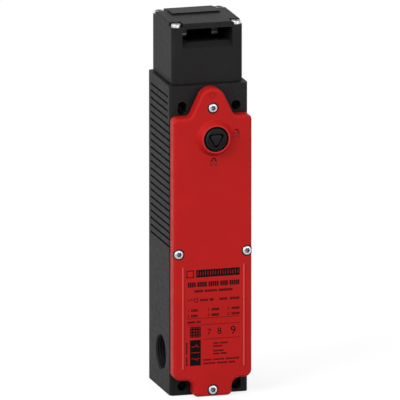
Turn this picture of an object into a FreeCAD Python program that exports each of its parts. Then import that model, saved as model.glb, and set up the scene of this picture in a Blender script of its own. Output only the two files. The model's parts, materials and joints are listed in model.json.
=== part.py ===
"""Tongue interlock switch with guard locking, built from its separate pieces.

The frame: x to the right, y into the mounting wall, z up. The back face lies in y = 0 and the front
faces -y, so a depth is a distance forward from the back face. The body stands on z = 0.
Every length is in millimetres and every angle in degrees.
"""
import FreeCAD, Part
import math
import os
import re

import Sketcher
from FreeCAD import Placement, Rotation, Vector

sizes = {
    # Die-cast body
    "bodyWidth": 43.5, "bodyDepth": 43.5, "bodyHeight": 170.5, "bodyEdge": 2.2,
    "sideWall": 3.0, "backWall": 3.5, "floorWall": 12.0, "topWall": 19.5,
    "fixingSpacing": 30.0, "fixingLow": 5.1, "fixingDrop": 12.1, "fixingHole": 5.3,
    "fixingSlot": 2.0,
    "finDrop": 5.6, "finPitch": 3.9, "finGap": 1.3, "finDeep": 1.2, "finRear": 5.2,
    "finFrontEdge": 4.3, "finShortCount": 4, "finLongCount": 18,
    "entryBore": 18.5, "entryBoss": 25.0, "entryLength": 7.0, "entryDepth": 25.3,
    "entryHeight": 20.2, "entryChamfer": 0.8, "screwBossWidth": 7.0, "screwBossHeight": 9.0,
    "screwBossLength": 15.0, "screwBossGap": 0.8, "earthAcross": 8.0, "earthRise": 4.8,
    "earthBoss": 8.0, "earthBossLength": 3.0, "screwEnd": 1.75, "holeEnd": 0.9,
    # Cover and its gasket
    "gasketThick": 0.8, "gasketInset": 0.8, "gasketLip": 0.2, "coverThick": 7.2,
    "coverWall": 2.5, "coverBottom": 9.8, "shoulderDrop": 16.0, "peakDrop": 0.3,
    "peakRadius": 7.3, "slopeAngle": 65.0, "footRadius": 3.0, "shoulderRadius": 2.6,
    "lowerCorner": 4.0, "tabHalf": 10.6, "tabBottom": 0.3, "tabInner": 4.8, "tabCorner": 2.5,
    "coverRound": 1.6, "coverPocketGap": 1.0,
    "topScrewDrop": 11.1, "coverScrewLow": 4.0, "screwEdge": 2.75,
    "coverScrewHead": 5.2, "coverScrewSink": 6.3,
    "coverScrewSinkDeep": 2.5, "coverScrewProud": 0.4, "coverScrewShank": 3.0,
    "coverScrewReach": 8.5, "socketWide": 2.9, "socketDeep": 1.6,
    "ribEdge": 4.75, "ribWide": 0.8, "ribLow": 16.5, "ribHigh": 72.7, "ribProud": 0.5,
    # Head with the tongue slots
    "headSide": 39.5, "headRear": 1.0, "headGasketThick": 0.7, "headRoof": 2.0,
    "headEdge": 2.4, "headTopEdge": 0.8, "headGasketInset": 0.8,
    "cavityRadius": 14.0, "cavityWide": 28.3, "camRise": 16.8,
    "slotWide": 28.0, "slotRise": 5.1, "slotTall": 7.9, "slotLead": 3.1, "slotReach": 22.0,
    "topSlotWide": 26.8, "topSlotRear": 7.5, "topSlotFront": 18.5,
    "plugCrown": 1.0, "plugGap": 0.1, "plugThick": 3.0, "plugLeg": 1.1, "plugLegDeep": 5.0,
    "plugCorner": 0.8, "cornerPocket": 6.4, "cornerPocketDeep": 2.2, "headScrewEdge": 3.05,
    "headScrewHead": 5.2, "headScrewHeadHigh": 2.0, "headScrewShank": 3.0, "headScrewBite": 7.0,
    # Cam, plunger and drive
    "axleRadius": 2.45, "axleLength": 36.0, "axleGap": 0.2, "camTurn": 50.0, "driveTravel": 7.0,
    "camHub": 5.9, "camHubWide": 21.0, "camDiscWide": 6.0, "hookWide": 3.5, "hookInner": 7.0,
    "hookGap": 1.1, "hookNotchLow": 4.0, "hookNotchIn": 3.0, "tipRadius": 1.5, "tipDrop": 13.2,
    "tipFlat": 0.9, "tipChamfer": 0.9, "camFrontStart": 14.0, "camFrontSweep": 70.0,
    "camClear": 0.3, "plungerRadius": 3.0, "footDrop": 32.3,
    "tipLength": 3.0, "collarRadius": 5.5, "collarRise": 0.3, "collarThick": 2.5,
    "spigotRadius": 1.8, "spigotGap": 0.05, "bushRadius": 5.0, "bushGap": 0.2, "bushLength": 10.9,
    "sealThick": 1.6, "sealGap": 0.15,
    "rodWide": 8.0, "rodRear": 4.3, "rodThick": 2.0, "rodFootThick": 2.0, "rodFootReach": 23.6,
    "rodFootWide": 6.4,
    "carriageWide": 9.8, "carriageFront": 20.5, "carriageRoof": 3.0,
    "bridgeGap": 2.0, "bridgeDeep": 6.0, "bridgeRear": 11.0, "bridgeThick": 0.8,
    "bridgeRise": 1.0, "bridgePitch": 10.0, "bridgeCount": 3,
    "springWire": 0.9, "springRadius": 3.4, "springTurns": 5.0, "springLength": 9.5,
    # Contact block
    "blockSideGap": 1.25, "blockGap": 0.3, "blockFloor": 1.5, "blockRoof": 0.5,
    "blockFront": 40.0, "channelGap": 0.3, "windowEdge": 2.0, "windowRear": 9.0,
    "windowFront": 19.0, "contactGap": 0.2, "contactThick": 1.0, "contactEdge": 2.0,
    "contactLong": 6.5, "tabThick": 1.2, "tabHigh": 8.0, "terminalDrop": 4.8,
    "terminalHead": 5.6, "terminalHeadHigh": 1.8, "terminalShank": 3.0, "terminalReach": 10.0,
    "blockScrewEdge": 3.3, "blockScrewRise": 5.5, "blockScrewHead": 5.2,
    # Locking solenoid
    "coilDepth": 24.0, "yokeDrop": 44.5, "yokeTall": 40.0, "yokeFront": 38.0,
    "yokePlate": 2.5, "yokeScrewGap": 0.4, "bobbinFlange": 12.2, "bobbinThick": 1.2,
    "bobbinCore": 5.4, "bobbinBore": 4.4, "coilGap": 0.3, "windingRadius": 11.4,
    "armatureRadius": 4.0, "poleLong": 11.5, "poleGap": 0.3, "armatureProud": 1.5,
    "lockTravel": 4.0, "springBore": 2.7, "springBoreDeep": 7.0, "armatureSpringRadius": 2.0,
    "armatureSpringWire": 0.6, "armatureSpringTurns": 5.0,
    # Lock blade, bolt and guide
    "bladeThick": 2.0, "bladeFootDeep": 5.0, "bladeRear": 32.0, "bladeFront": 41.1,
    "bladeLift": 1.0, "bladeArm": 4.0, "bladeAbove": 2.95, "noseFront": 44.5,
    "noseThick": 2.8, "noseGap": 0.3, "pinRadius": 1.1, "pinGap": 0.2, "pinHalf": 3.9,
    "pinDepth": 38.5,
    "boltGap": 0.5, "boltThick": 3.5, "boltHalf": 6.5, "boltTip": 26.8, "boltFront": 41.0,
    "boltForkHalf": 3.5, "boltForkDeep": 1.4, "boltBridge": 31.5, "boltSlotHalf": 1.3,
    "guideHalf": 9.5, "guideRear": 28.5, "guideFront": 41.0, "guideFloor": 2.0,
    "guideRoof": 2.3, "guideGap": 0.3, "guideOpen": 4.6, "guideSlit": 1.6, "guideArm": 2.0,
    "frameRear": 7.2, "frameThick": 1.5, "frameSideGap": 1.25, "frameBelow": 4.0,
    "frameTopGap": 2.0, "frameRib": 3.0, "frameWindow": 5.0, "frameWindowBelow": 1.7,
    "frameWindowAbove": 2.8, "frameScrewEdge": 1.9, "frameScrewRise": 18.0,
    "frameScrewDrop": 14.0, "frameScrewHead": 4.8, "frameScrewHeadHigh": 1.8,
    "smallShank": 3.0, "holeGap": 0.1,
    # Key release
    "releaseAcross": 0.8, "releaseDrop": 27.5, "collarBase": 10.0, "collarTop": 7.7,
    "collarTall": 3.6, "collarLip": 0.45, "releaseProud": 0.4, "releaseRadius": 6.8,
    "releaseGap": 0.25, "releaseSink": 0.5, "releaseSealThick": 0.6, "releaseSealGap": 0.2,
    "barrelRadius": 4.5, "barrelBehind": 5.0, "keySide": 7.4, "keyDeep": 3.0, "keyRound": 0.6,
    "clipRadius": 6.4, "clipThick": 0.8, "clipGap": 0.2, "crankRadius": 5.9, "crankThick": 1.6,
    "crankPin": 1.2, "crankThrow": 4.5, "crankPinRear": 41.7,
}

# Places and sizes that follow from the ones above
places = {
    # Body, cover and head
    "cavityTop": "bodyHeight - topWall",
    "cavityHalf": "bodyWidth / 2 - sideWall",
    "fixingHigh": "bodyHeight - fixingDrop",
    "finTop": "bodyHeight - finDrop",
    "finFront": "bodyDepth - finFrontEdge",
    "coverFace": "bodyDepth + gasketThick + coverThick",
    "coverPeak": "bodyHeight - peakDrop",
    "coverShoulder": "bodyHeight - shoulderDrop",
    "coverScrewTop": "bodyHeight - topScrewDrop",
    "coverScrewSide": "bodyWidth / 2 - screwEdge",
    "coverScrewSideHeight": "blockHigh + screwBossGap + screwBossHeight / 2",
    "ribAcross": "bodyWidth / 2 - ribEdge",
    "headLow": "bodyHeight + headGasketThick",
    "headMiddle": "headRear + headSide / 2",
    "headHeight": "camHeight + cavityRadius + headRoof",
    "headScrewOffset": "headSide / 2 - headScrewEdge",
    "headScrewEnd": "bodyHeight - headScrewBite",
    "slotLow": "camHeight + slotRise",
    "slotTop": "slotLow + slotTall",
    # Cam, plunger and contacts
    "camHeight": "headLow + camRise",
    "hookRadius": "cavityRadius - hookGap",
    "tipTop": "camHeight - tipDrop",
    "plungerFoot": "bodyHeight - footDrop",
    "collarLow": "plungerFoot + collarRise",
    "collarHigh": "collarLow + collarThick",
    "bushLow": "bodyHeight - sealThick - bushLength",
    "rodFront": "rodRear + rodThick",
    "blockHalf": "cavityHalf - blockSideGap",
    "blockLow": "entryHeight + entryBoss / 2 + blockGap",
    "blockHigh": "bridgeTop + bridgeThick + driveTravel + contactGap + contactThick + blockRoof",
    "springSeat": "blockLow + blockFloor",
    "carriageLow": "springSeat + springLength",
    "carriageHigh": "bridgeTop + carriageRoof",
    "bridgeLow": "carriageLow + bridgeRise",
    "bridgeTop": "bridgeLow + bridgePitch * (bridgeCount - 1)",
    "contactOuter": "blockHalf - contactEdge",
    "contactInner": "contactOuter - contactLong",
    "windowHalf": "contactOuter - windowEdge",
    "bridgeHalf": "windowHalf - bridgeGap",
    "blockScrewAcross": "blockHalf - blockScrewEdge",
    "blockScrewHeight": "blockLow + blockScrewRise",
    "earthHeight": "entryHeight + earthRise",
    # Solenoid and lock
    "yokeHigh": "bodyHeight - yokeDrop",
    "yokeLow": "yokeHigh - yokeTall",
    "yokeHalf": "frameScrewAcross - frameScrewHead / 2 - yokeScrewGap",
    "poleHigh": "yokeLow + yokePlate + poleLong",
    "armatureHigh": "yokeHigh + armatureProud",
    "bladeFootLow": "armatureHigh - bladeFootDeep",
    "bladeArmLow": "yokeHigh + bladeLift",
    "bladeArmHigh": "bladeArmLow + bladeArm",
    "bladeTop": "pinHeight + bladeAbove",
    "noseHigh": "releaseHeight - crankThrow - crankPin - lockTravel - noseGap",
    "noseLow": "noseHigh - noseThick",
    "boltLow": "collarHigh + boltGap",
    "boltHigh": "boltLow + boltThick",
    "pinHeight": "boltLow + boltThick / 2",
    "guideLow": "boltLow - guideFloor",
    "guideHigh": "boltHigh + guideRoof",
    "frameFront": "frameRear + frameThick",
    "frameHalf": "cavityHalf - frameSideGap",
    "frameLow": "yokeLow - frameBelow",
    "frameHigh": "cavityTop - frameTopGap",
    "frameWindowLow": "plungerFoot - rodFootThick - frameWindowBelow",
    "frameWindowHigh": "plungerFoot + driveTravel + frameWindowAbove",
    "frameScrewAcross": "frameHalf - frameScrewEdge",
    "frameScrewLow": "frameLow + frameScrewRise",
    "frameScrewHigh": "frameHigh - frameScrewDrop",
    # Key release
    "releaseHeight": "bodyHeight - releaseDrop",
    "collarFront": "coverFace + collarTall",
    "releaseFront": "collarFront + releaseProud",
    "releaseFloor": "coverFace - releaseSink",
    "barrelRear": "coverFace - barrelBehind",
    "crankRear": "barrelRear - crankThick",
}

doc = FreeCAD.newDocument("tongue_interlock_switch")
sheet = doc.addObject("Spreadsheet::Sheet", "Sizes")
for row, (alias, number) in enumerate(sizes.items(), start=1):
    cell = "A%d" % row
    sheet.set(cell, str(number))
    sheet.setAlias(cell, alias)
doc.recompute()

nodes = []


def size(name):
    """The value of a size, or of a place worked out from its text."""
    if name in sizes:
        return float(sheet.get(name))
    worked = re.sub(r"[A-Za-z]\w*", lambda word: "(%r)" % size(word.group()), places[name])
    return FreeCAD.Units.Quantity(worked).Value


def spelled(word):
    """One word of a text: a place is written out, and a size is led back to the sheet."""
    if word.group() in places:
        return "(%s)" % linked(places[word.group()])
    return "Sizes." + word.group() if word.group() in sizes else word.group()


def linked(text):
    return re.sub(r"[A-Za-z]\w*", spelled, text)


def bind(thing, path, text):
    thing.setExpression(path, linked(text))


def keep(thing, label):
    """Names a finished piece and puts it on the list of nodes."""
    thing.Label = label
    nodes.append(thing)
    return thing


# Solids with their sizes bound to the sheet. A place is (across, depth, height).

def place(thing, across, depth, height):
    bind(thing, "Placement.Base.x", across)
    bind(thing, "Placement.Base.y", "-(%s)" % depth)
    bind(thing, "Placement.Base.z", height)


def box(across, depth, height):
    """A block between two values each way."""
    block = doc.addObject("Part::Box", "Block")
    bind(block, "Length", "(%s) - (%s)" % (across[1], across[0]))
    bind(block, "Width", "(%s) - (%s)" % (depth[1], depth[0]))
    bind(block, "Height", "(%s) - (%s)" % (height[1], height[0]))
    place(block, across[0], depth[1], height[0])
    return block


turns = {"up": Rotation(), "forward": Rotation(Vector(1, 0, 0), 90), "right": Rotation(Vector(0, 1, 0), 90)}


def rod(radius, start, length, way="up"):
    """A round bar from its start, up, forward or to the right."""
    bar = doc.addObject("Part::Cylinder", "Rod")
    bar.Placement = Placement(Vector(), turns[way])
    bind(bar, "Radius", radius)
    bind(bar, "Height", length)
    place(bar, *start)
    return bar


def fuse(*pieces):
    joined = doc.addObject("Part::MultiFuse", "Joined")
    joined.Shapes = list(pieces)
    return joined


def cut(base, *tools):
    """The base with every tool taken away."""
    result = doc.addObject("Part::Cut", "Trimmed")
    result.Base = base
    result.Tool = tools[0] if len(tools) == 1 else fuse(*tools)
    return result


def group(*pieces):
    """Alike pieces that share one node and stay separate solids."""
    bundle = doc.addObject("Part::Compound", "Group")
    bundle.Links = list(pieces)
    return bundle


def sign(text, side):
    """The text on the right, or its opposite on the left."""
    return text if side > 0 else "-(%s)" % text


def span(inner, outer, side):
    """Two values across, in rising order, on one side of the middle."""
    return (inner, outer) if side > 0 else ("-(%s)" % outer, "-(%s)" % inner)


# Sketches and the features made from them

def new_body(name):
    return doc.addObject("PartDesign::Body", name)


def new_sketch(body, plane, offset):
    sketch = body.newObject("Sketcher::SketchObject", "Sketch")
    support = next(f for f in body.Origin.OriginFeatures if f.Role == plane)
    sketch.AttachmentSupport = [(support, "")]
    sketch.MapMode = "FlatFace"
    bind(sketch, "AttachmentOffset.Base.z", offset)
    return sketch


def hold(sketch, kind, curve, point, text):
    """Holds one coordinate of a point at a value from the sheet."""
    spot = sketch.getPoint(curve, point)
    drawn = spot.x if kind == "DistanceX" else spot.y
    index = sketch.addConstraint(Sketcher.Constraint(kind, -1, 1, curve, point, drawn))
    bind(sketch, "Constraints[%d]" % index, text)


def draw_loop(sketch, points):
    """A closed outline of straight lines with every corner held."""
    first = sketch.GeometryCount
    count = len(points)
    start = [Vector(math.cos(2 * math.pi * i / count), math.sin(2 * math.pi * i / count), 0)
             for i in range(count)]
    for i in range(count):
        sketch.addGeometry(Part.LineSegment(start[i], start[(i + 1) % count]), False)
    for i in range(count):
        sketch.addConstraint(Sketcher.Constraint("Coincident", first + i, 2, first + (i + 1) % count, 1))
    for i, (across, up) in enumerate(points):
        hold(sketch, "DistanceX", first + i, 1, across)
        hold(sketch, "DistanceY", first + i, 1, up)


def draw_box(sketch, across, up):
    draw_loop(sketch, [(across[0], up[0]), (across[1], up[0]), (across[1], up[1]), (across[0], up[1])])


def draw_circle(sketch, across, up, radius):
    curve = sketch.addGeometry(Part.Circle(Vector(1, 1, 0), Vector(0, 0, 1), 1.0), False)
    hold(sketch, "DistanceX", curve, 3, across)
    hold(sketch, "DistanceY", curve, 3, up)
    index = sketch.addConstraint(Sketcher.Constraint("Radius", curve, 1.0))
    bind(sketch, "Constraints[%d]" % index, radius)


def draw_slot(sketch, start, end, way, radius):
    """A round-ended slot between two centres; way is roughly its direction."""
    along = Vector(way[0], way[1], 0).normalize()
    aside = Vector(-along.y, along.x, 0)
    turn = math.atan2(along.y, along.x)
    first = sketch.GeometryCount
    for middle, low in ((Vector(), turn + math.pi / 2), (along * 2, turn - math.pi / 2)):
        circle = Part.Circle(middle, Vector(0, 0, 1), 1.0)
        sketch.addGeometry(Part.ArcOfCircle(circle, low, low + math.pi), False)
    sketch.addGeometry(Part.LineSegment(aside, aside + along * 2), False)
    sketch.addGeometry(Part.LineSegment(along * 2 - aside, -aside), False)
    for joint in ((0, 1, 2, 1), (2, 2, 1, 2), (1, 1, 3, 1), (3, 2, 0, 2)):
        sketch.addConstraint(Sketcher.Constraint("Tangent", first + joint[0], joint[1],
                                                 first + joint[2], joint[3]))
    sketch.addConstraint(Sketcher.Constraint("Equal", first, first + 1))
    for curve, middle in ((first, start), (first + 1, end)):
        hold(sketch, "DistanceX", curve, 3, middle[0])
        hold(sketch, "DistanceY", curve, 3, middle[1])
    index = sketch.addConstraint(Sketcher.Constraint("Radius", first, 1.0))
    bind(sketch, "Constraints[%d]" % index, radius)


def pad(body, sketch, low, high):
    """Adds material from the sketch's own height to a higher one along its normal."""
    feature = body.newObject("PartDesign::Pad", "Pad")
    feature.Profile = sketch
    bind(feature, "Length", "(%s) - (%s)" % (high, low))
    doc.recompute()
    return feature


def pocket(body, sketch, low, high):
    """Takes material away from the sketch's own height to a higher one along its normal."""
    before = body.Shape.Volume
    feature = body.newObject("PartDesign::Pocket", "Pocket")
    feature.Profile = sketch
    feature.Reversed = True
    bind(feature, "Length", "(%s) - (%s)" % (high, low))
    doc.recompute()
    if not body.Shape.Volume < before - 0.001:
        raise RuntimeError(body.Name + ": a pocket cuts nothing")
    return feature


def pad_box(body, plane, low, high, across, up):
    sketch = new_sketch(body, plane, low)
    draw_box(sketch, across, up)
    pad(body, sketch, low, high)
    return sketch


def pocket_box(body, plane, low, high, across, up):
    sketch = new_sketch(body, plane, low)
    draw_box(sketch, across, up)
    return pocket(body, sketch, low, high)


def pocket_circles(body, plane, low, high, radius, centres):
    sketch = new_sketch(body, plane, low)
    for across, up in centres:
        draw_circle(sketch, across, up, radius)
    return pocket(body, sketch, low, high)


def turned(body, profile, depth):
    """Turns a half profile of (radius, height) points about an upright axis at x = 0."""
    sketch = new_sketch(body, "XZ_Plane", depth)
    draw_loop(sketch, profile)
    feature = body.newObject("PartDesign::Revolution", "Revolution")
    feature.Profile = sketch
    feature.ReferenceAxis = (sketch, ["V_Axis"])
    feature.Angle = 360.0
    doc.recompute()
    return feature


def edges_at(shape, direction, points):
    """Names of the straight edges that run in a direction through one of the points."""
    names = []
    for number, edge in enumerate(shape.Edges, start=1):
        if edge.Curve.TypeId != "Part::GeomLine":
            continue
        if abs(abs(edge.Curve.Direction.dot(direction)) - 1.0) > 1e-6:
            continue
        offsets = [(p - edge.Curve.Location).cross(edge.Curve.Direction).Length for p in points]
        if min(offsets) < 1e-4:
            names.append("Edge%d" % number)
    return names


def round_edges(body, names, radius):
    base = body.Tip
    fillet = body.newObject("PartDesign::Fillet", "Fillet")
    fillet.Base = (base, names)
    bind(fillet, "Radius", radius)
    doc.recompute()
    return fillet


def round_corners(body, sketch, corners, radius):
    """Rounds the edges that stand on some corners of a sketch's outline."""
    normal = sketch.Placement.Rotation.multVec(Vector(0, 0, 1))
    points = [sketch.Placement.multVec(sketch.Geometry[i].StartPoint) for i in corners]
    return round_edges(body, edges_at(body.Shape, normal, points), radius)


def ring_edges(shape, radius, test):
    """Names of the full circles of one radius whose centre passes a test."""
    names = []
    for number, edge in enumerate(shape.Edges, start=1):
        if edge.Curve.TypeId == "Part::GeomCircle" and abs(edge.Curve.Radius - radius) < 1e-4:
            if test(edge.Curve.Center):
                names.append("Edge%d" % number)
    return names


def face_edges(shape, depth):
    """Names of the edges that lie in the plane at one depth."""
    return ["Edge%d" % number for number, edge in enumerate(shape.Edges, start=1)
            if abs(edge.BoundBox.YMin + depth) < 1e-4 and abs(edge.BoundBox.YMax + depth) < 1e-4]


# Body

fixings = [(-1, "fixingLow", False), (1, "fixingLow", True),
           (1, "fixingHigh", False), (-1, "fixingHigh", True)]
cover_screw_places = [("0", "coverScrewTop"), ("0", "coverScrewLow"),
                      ("coverScrewSide", "coverScrewSideHeight"),
                      ("-coverScrewSide", "coverScrewSideHeight")]
head_corners = [(sign("headScrewOffset", side), "headMiddle %s headScrewOffset" % way)
                for side in (1, -1) for way in ("+", "-")]


def cut_fixing_holes(body):
    """Two round holes and two upright slots on opposite corners."""
    low, high = "-1", "bodyDepth + 1"
    sketch = new_sketch(body, "XZ_Plane", low)
    for side, height, slotted in fixings:
        across = sign("fixingSpacing / 2", side)
        if slotted:
            draw_slot(sketch, (across, height + " - fixingSlot / 2"),
                      (across, height + " + fixingSlot / 2"), (0, 1), "fixingHole / 2")
        else:
            draw_circle(sketch, across, height, "fixingHole / 2")
    pocket(body, sketch, low, high)


def cut_fins(body, top, front, count):
    """A column of shallow cooling grooves on both sides, patterned downwards."""
    grooves = []
    for side in (1, -1):
        low, high = span("bodyWidth / 2 - finDeep", "bodyWidth / 2 + 1", side)
        sketch = new_sketch(body, "YZ_Plane", low)
        draw_box(sketch, ("-(%s)" % front, "-finRear"), (top + " - finGap", top))
        grooves.append(pocket(body, sketch, low, high))
    pattern = body.newObject("PartDesign::LinearPattern", "Pattern")
    pattern.Originals = grooves
    pattern.Direction = (grooves[0].Profile[0], ["V_Axis"])
    pattern.Reversed = True
    bind(pattern, "Length", "finPitch * (%s - 1)" % count)
    bind(pattern, "Occurrences", count)
    body.Tip = pattern
    doc.recompute()


def make_housing():
    """The die-cast body: an open tray with a thick floor, a solid top and through fixing holes."""
    body = new_body("BodyHousing")
    outline = pad_box(body, "XY_Plane", "0", "bodyHeight", ("-bodyWidth / 2", "bodyWidth / 2"),
                      ("-bodyDepth", "0"))
    round_corners(body, outline, range(4), "bodyEdge")
    pocket_box(body, "XZ_Plane", "backWall", "bodyDepth + 1",
               ("-cavityHalf", "cavityHalf"), ("floorWall", "cavityTop"))
    for side in (1, -1):
        pad_box(body, "XZ_Plane", "bodyDepth - screwBossLength", "bodyDepth",
                span("bodyWidth / 2 - screwBossWidth", "bodyWidth / 2 - sideWall / 2", side),
                ("coverScrewSideHeight - screwBossHeight / 2",
                 "coverScrewSideHeight + screwBossHeight / 2"))
    low, high = span("bodyWidth / 2 - entryLength", "bodyWidth / 2 - sideWall / 2", -1)
    boss = new_sketch(body, "YZ_Plane", low)
    draw_circle(boss, "-entryDepth", "entryHeight", "entryBoss / 2")
    pad(body, boss, low, high)
    earth = new_sketch(body, "XZ_Plane", "backWall / 2")
    draw_circle(earth, "earthAcross", "earthHeight", "earthBoss / 2")
    pad(body, earth, "backWall / 2", "backWall + earthBossLength")
    pocket_circles(body, "YZ_Plane", "-(bodyWidth / 2 + 1)", "-(bodyWidth / 2 - entryLength - 1)",
                   "entryBore / 2", [("-entryDepth", "entryHeight")])
    pocket_circles(body, "XY_Plane", "-1", "floorWall + 1", "entryBore / 2",
                   [("0", "-headMiddle")])
    cut_fixing_holes(body)
    pocket_circles(body, "XY_Plane", "cavityTop - 1", "bodyHeight + 1", "bushRadius",
                   [("0", "-headMiddle")])
    pocket_circles(body, "XY_Plane", "headScrewEnd - 1", "bodyHeight + 1",
                   "headScrewShank / 2 + holeGap", [(x, "-(%s)" % d) for x, d in head_corners])
    pocket_circles(body, "XZ_Plane", "bodyDepth - coverScrewReach - 1", "bodyDepth + 1",
                   "coverScrewShank / 2 + holeGap", cover_screw_places)
    screws = [(sign("frameScrewAcross", side), height) for side in (1, -1)
              for height in ("frameScrewLow", "frameScrewHigh")]
    screws += [(sign("blockScrewAcross", side), "blockScrewHeight") for side in (1, -1)]
    screws.append(("earthAcross", "earthHeight"))
    pocket_circles(body, "XZ_Plane", "holeEnd", "backWall + earthBossLength + 1",
                   "smallShank / 2 + holeGap", screws)
    cut_fins(body, "finTop", "finFront", "finShortCount")
    cut_fins(body, "finTop - finPitch * finShortCount", "bodyDepth + 1", "finLongCount")
    half = size("bodyWidth") / 2
    mouths = ring_edges(body.Shape, size("entryBore") / 2,
                        lambda c: abs(c.x + half) < 1e-4 or abs(c.z) < 1e-4)
    base = body.Tip
    chamfer = body.newObject("PartDesign::Chamfer", "Chamfer")
    chamfer.Base = (base, mouths)
    bind(chamfer, "Size", "entryChamfer")
    doc.recompute()
    keep(body, "body_housing")


# Cover

apex = "(coverPeak - peakRadius + peakRadius / cos(slopeAngle))"
foot = "((%s - coverShoulder) / tan(slopeAngle))" % apex


def cover_outline(sketch, inset):
    """The cover's front outline: a peaked top, straight sides and a narrow tab below."""
    side = "(bodyWidth / 2 - %s)" % inset
    shoulder = "coverShoulder - %s" % inset
    bottom = "coverBottom + %s" % inset
    tab = "(tabHalf - %s)" % inset
    draw_loop(sketch, [("0", "%s - %s" % (apex, inset)), (foot, shoulder), (side, shoulder),
                       (side, bottom), (tab, bottom), (tab, "tabBottom + %s" % inset),
                       ("-" + tab, "tabBottom + %s" % inset), ("-" + tab, bottom),
                       ("-" + side, bottom), ("-" + side, shoulder), ("-" + foot, shoulder)])


def round_cover_outline(body, sketch):
    round_corners(body, sketch, [0], "peakRadius")
    round_corners(body, sketch, [1, 10], "footRadius")
    round_corners(body, sketch, [2, 9], "shoulderRadius")
    round_corners(body, sketch, [3, 8], "lowerCorner")
    round_corners(body, sketch, [4, 7], "tabInner")
    round_corners(body, sketch, [5, 6], "tabCorner")


def side_bosses(body, low, high):
    """Solid corners round the two side screws."""
    for side in (1, -1):
        pad_box(body, "XZ_Plane", low, high,
                span("bodyWidth / 2 - screwBossWidth", "coverScrewSide + gasketInset", side),
                ("coverScrewSideHeight - screwBossHeight / 2",
                 "coverScrewSideHeight + screwBossHeight / 2"))


def make_gasket():
    body = new_body("CoverGasket")
    low, high = "bodyDepth", "bodyDepth + gasketThick"
    sketch = new_sketch(body, "XZ_Plane", low)
    cover_outline(sketch, "gasketInset")
    pad(body, sketch, low, high)
    round_cover_outline(body, sketch)
    half = "(cavityHalf + gasketLip)"
    pocket_box(body, "XZ_Plane", low + " - 1", high + " + 1", ("-" + half, half),
               ("floorWall - gasketLip", "cavityTop + gasketLip"))
    side_bosses(body, low, high)
    pocket_circles(body, "XZ_Plane", low + " - 1", high + " + 1",
                   "coverScrewShank / 2 + holeGap", cover_screw_places)
    keep(body, "cover_gasket")


def make_cover():
    """The red cover: a shell with a raised collar for the key release and four sunk screws."""
    body = new_body("FrontCover")
    rear = "bodyDepth + gasketThick"
    sketch = new_sketch(body, "XZ_Plane", rear)
    cover_outline(sketch, "0")
    pad(body, sketch, rear, "coverFace")
    round_cover_outline(body, sketch)
    round_edges(body, face_edges(body.Shape, size("coverFace")), "coverRound")
    half = "(cavityHalf - coverPocketGap)"
    pocket_box(body, "XZ_Plane", rear + " - 1", "coverFace - coverWall", ("-" + half, half),
               ("floorWall + coverPocketGap", "cavityTop - coverPocketGap"))
    side_bosses(body, rear, "coverFace - coverWall / 2")
    collar = new_sketch(body, "XZ_Plane", "coverFace - coverWall / 2")
    draw_circle(collar, "releaseAcross", "releaseHeight", "collarTop + (collarBase - collarTop)"
                " * (collarFront - coverFace + coverWall / 2) / (collarFront - coverFace)")
    cone = pad(body, collar, "coverFace - coverWall / 2", "collarFront")
    bind(cone, "TaperAngle", "-atan((collarBase - collarTop) / (collarFront - coverFace))")
    doc.recompute()
    pocket_circles(body, "XZ_Plane", "releaseFloor", "collarFront + 1",
                   "releaseRadius + releaseGap", [("releaseAcross", "releaseHeight")])
    pocket_circles(body, "XZ_Plane", rear, "collarFront", "barrelRadius + releaseGap",
                   [("releaseAcross", "releaseHeight")])
    lip = ring_edges(body.Shape, size("collarTop"), lambda c: abs(c.y + size("collarFront")) < 1e-4)
    round_edges(body, lip, "collarLip")
    pocket_circles(body, "XZ_Plane", "coverFace - coverScrewSinkDeep", "coverFace + 1",
                   "coverScrewSink / 2", cover_screw_places)
    pocket_circles(body, "XZ_Plane", rear + " - 1", "coverFace",
                   "coverScrewShank / 2 + holeGap", cover_screw_places)
    for side in (1, -1):
        pad_box(body, "XZ_Plane", "coverFace - coverWall / 2", "coverFace + ribProud",
                span("ribAcross - ribWide / 2", "ribAcross + ribWide / 2", side),
                ("ribLow", "ribHigh"))
    keep(body, "front_cover")


def socket_screw(across, rear, height, head, head_high, shank, reach, way):
    """A cylinder-head screw with a socket; its head's underside is at the given place."""
    if way == "up":
        tip = (across, rear, "%s - %s" % (height, reach))
        seat = (across, rear, height)
        mouth = (across, rear, "%s + %s - socketDeep" % (height, head_high))
    else:
        tip = (across, "%s - %s" % (rear, reach), height)
        seat = (across, rear, height)
        mouth = (across, "%s + %s - socketDeep" % (rear, head_high), height)
    body = fuse(rod(head + " / 2", seat, head_high, way), rod(shank + " / 2", tip, reach, way))
    return cut(body, rod("socketWide / 2", mouth, "socketDeep + 1", way))


def make_cover_screws():
    seat = "coverFace - coverScrewSinkDeep"
    screws = [socket_screw(across, seat, height, "coverScrewHead",
                           "(coverScrewSinkDeep + coverScrewProud)", "coverScrewShank",
                           "(coverFace - coverScrewSinkDeep - bodyDepth + coverScrewReach)", "forward")
              for across, height in cover_screw_places]
    keep(group(*screws), "cover_screws")


# Head

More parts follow.
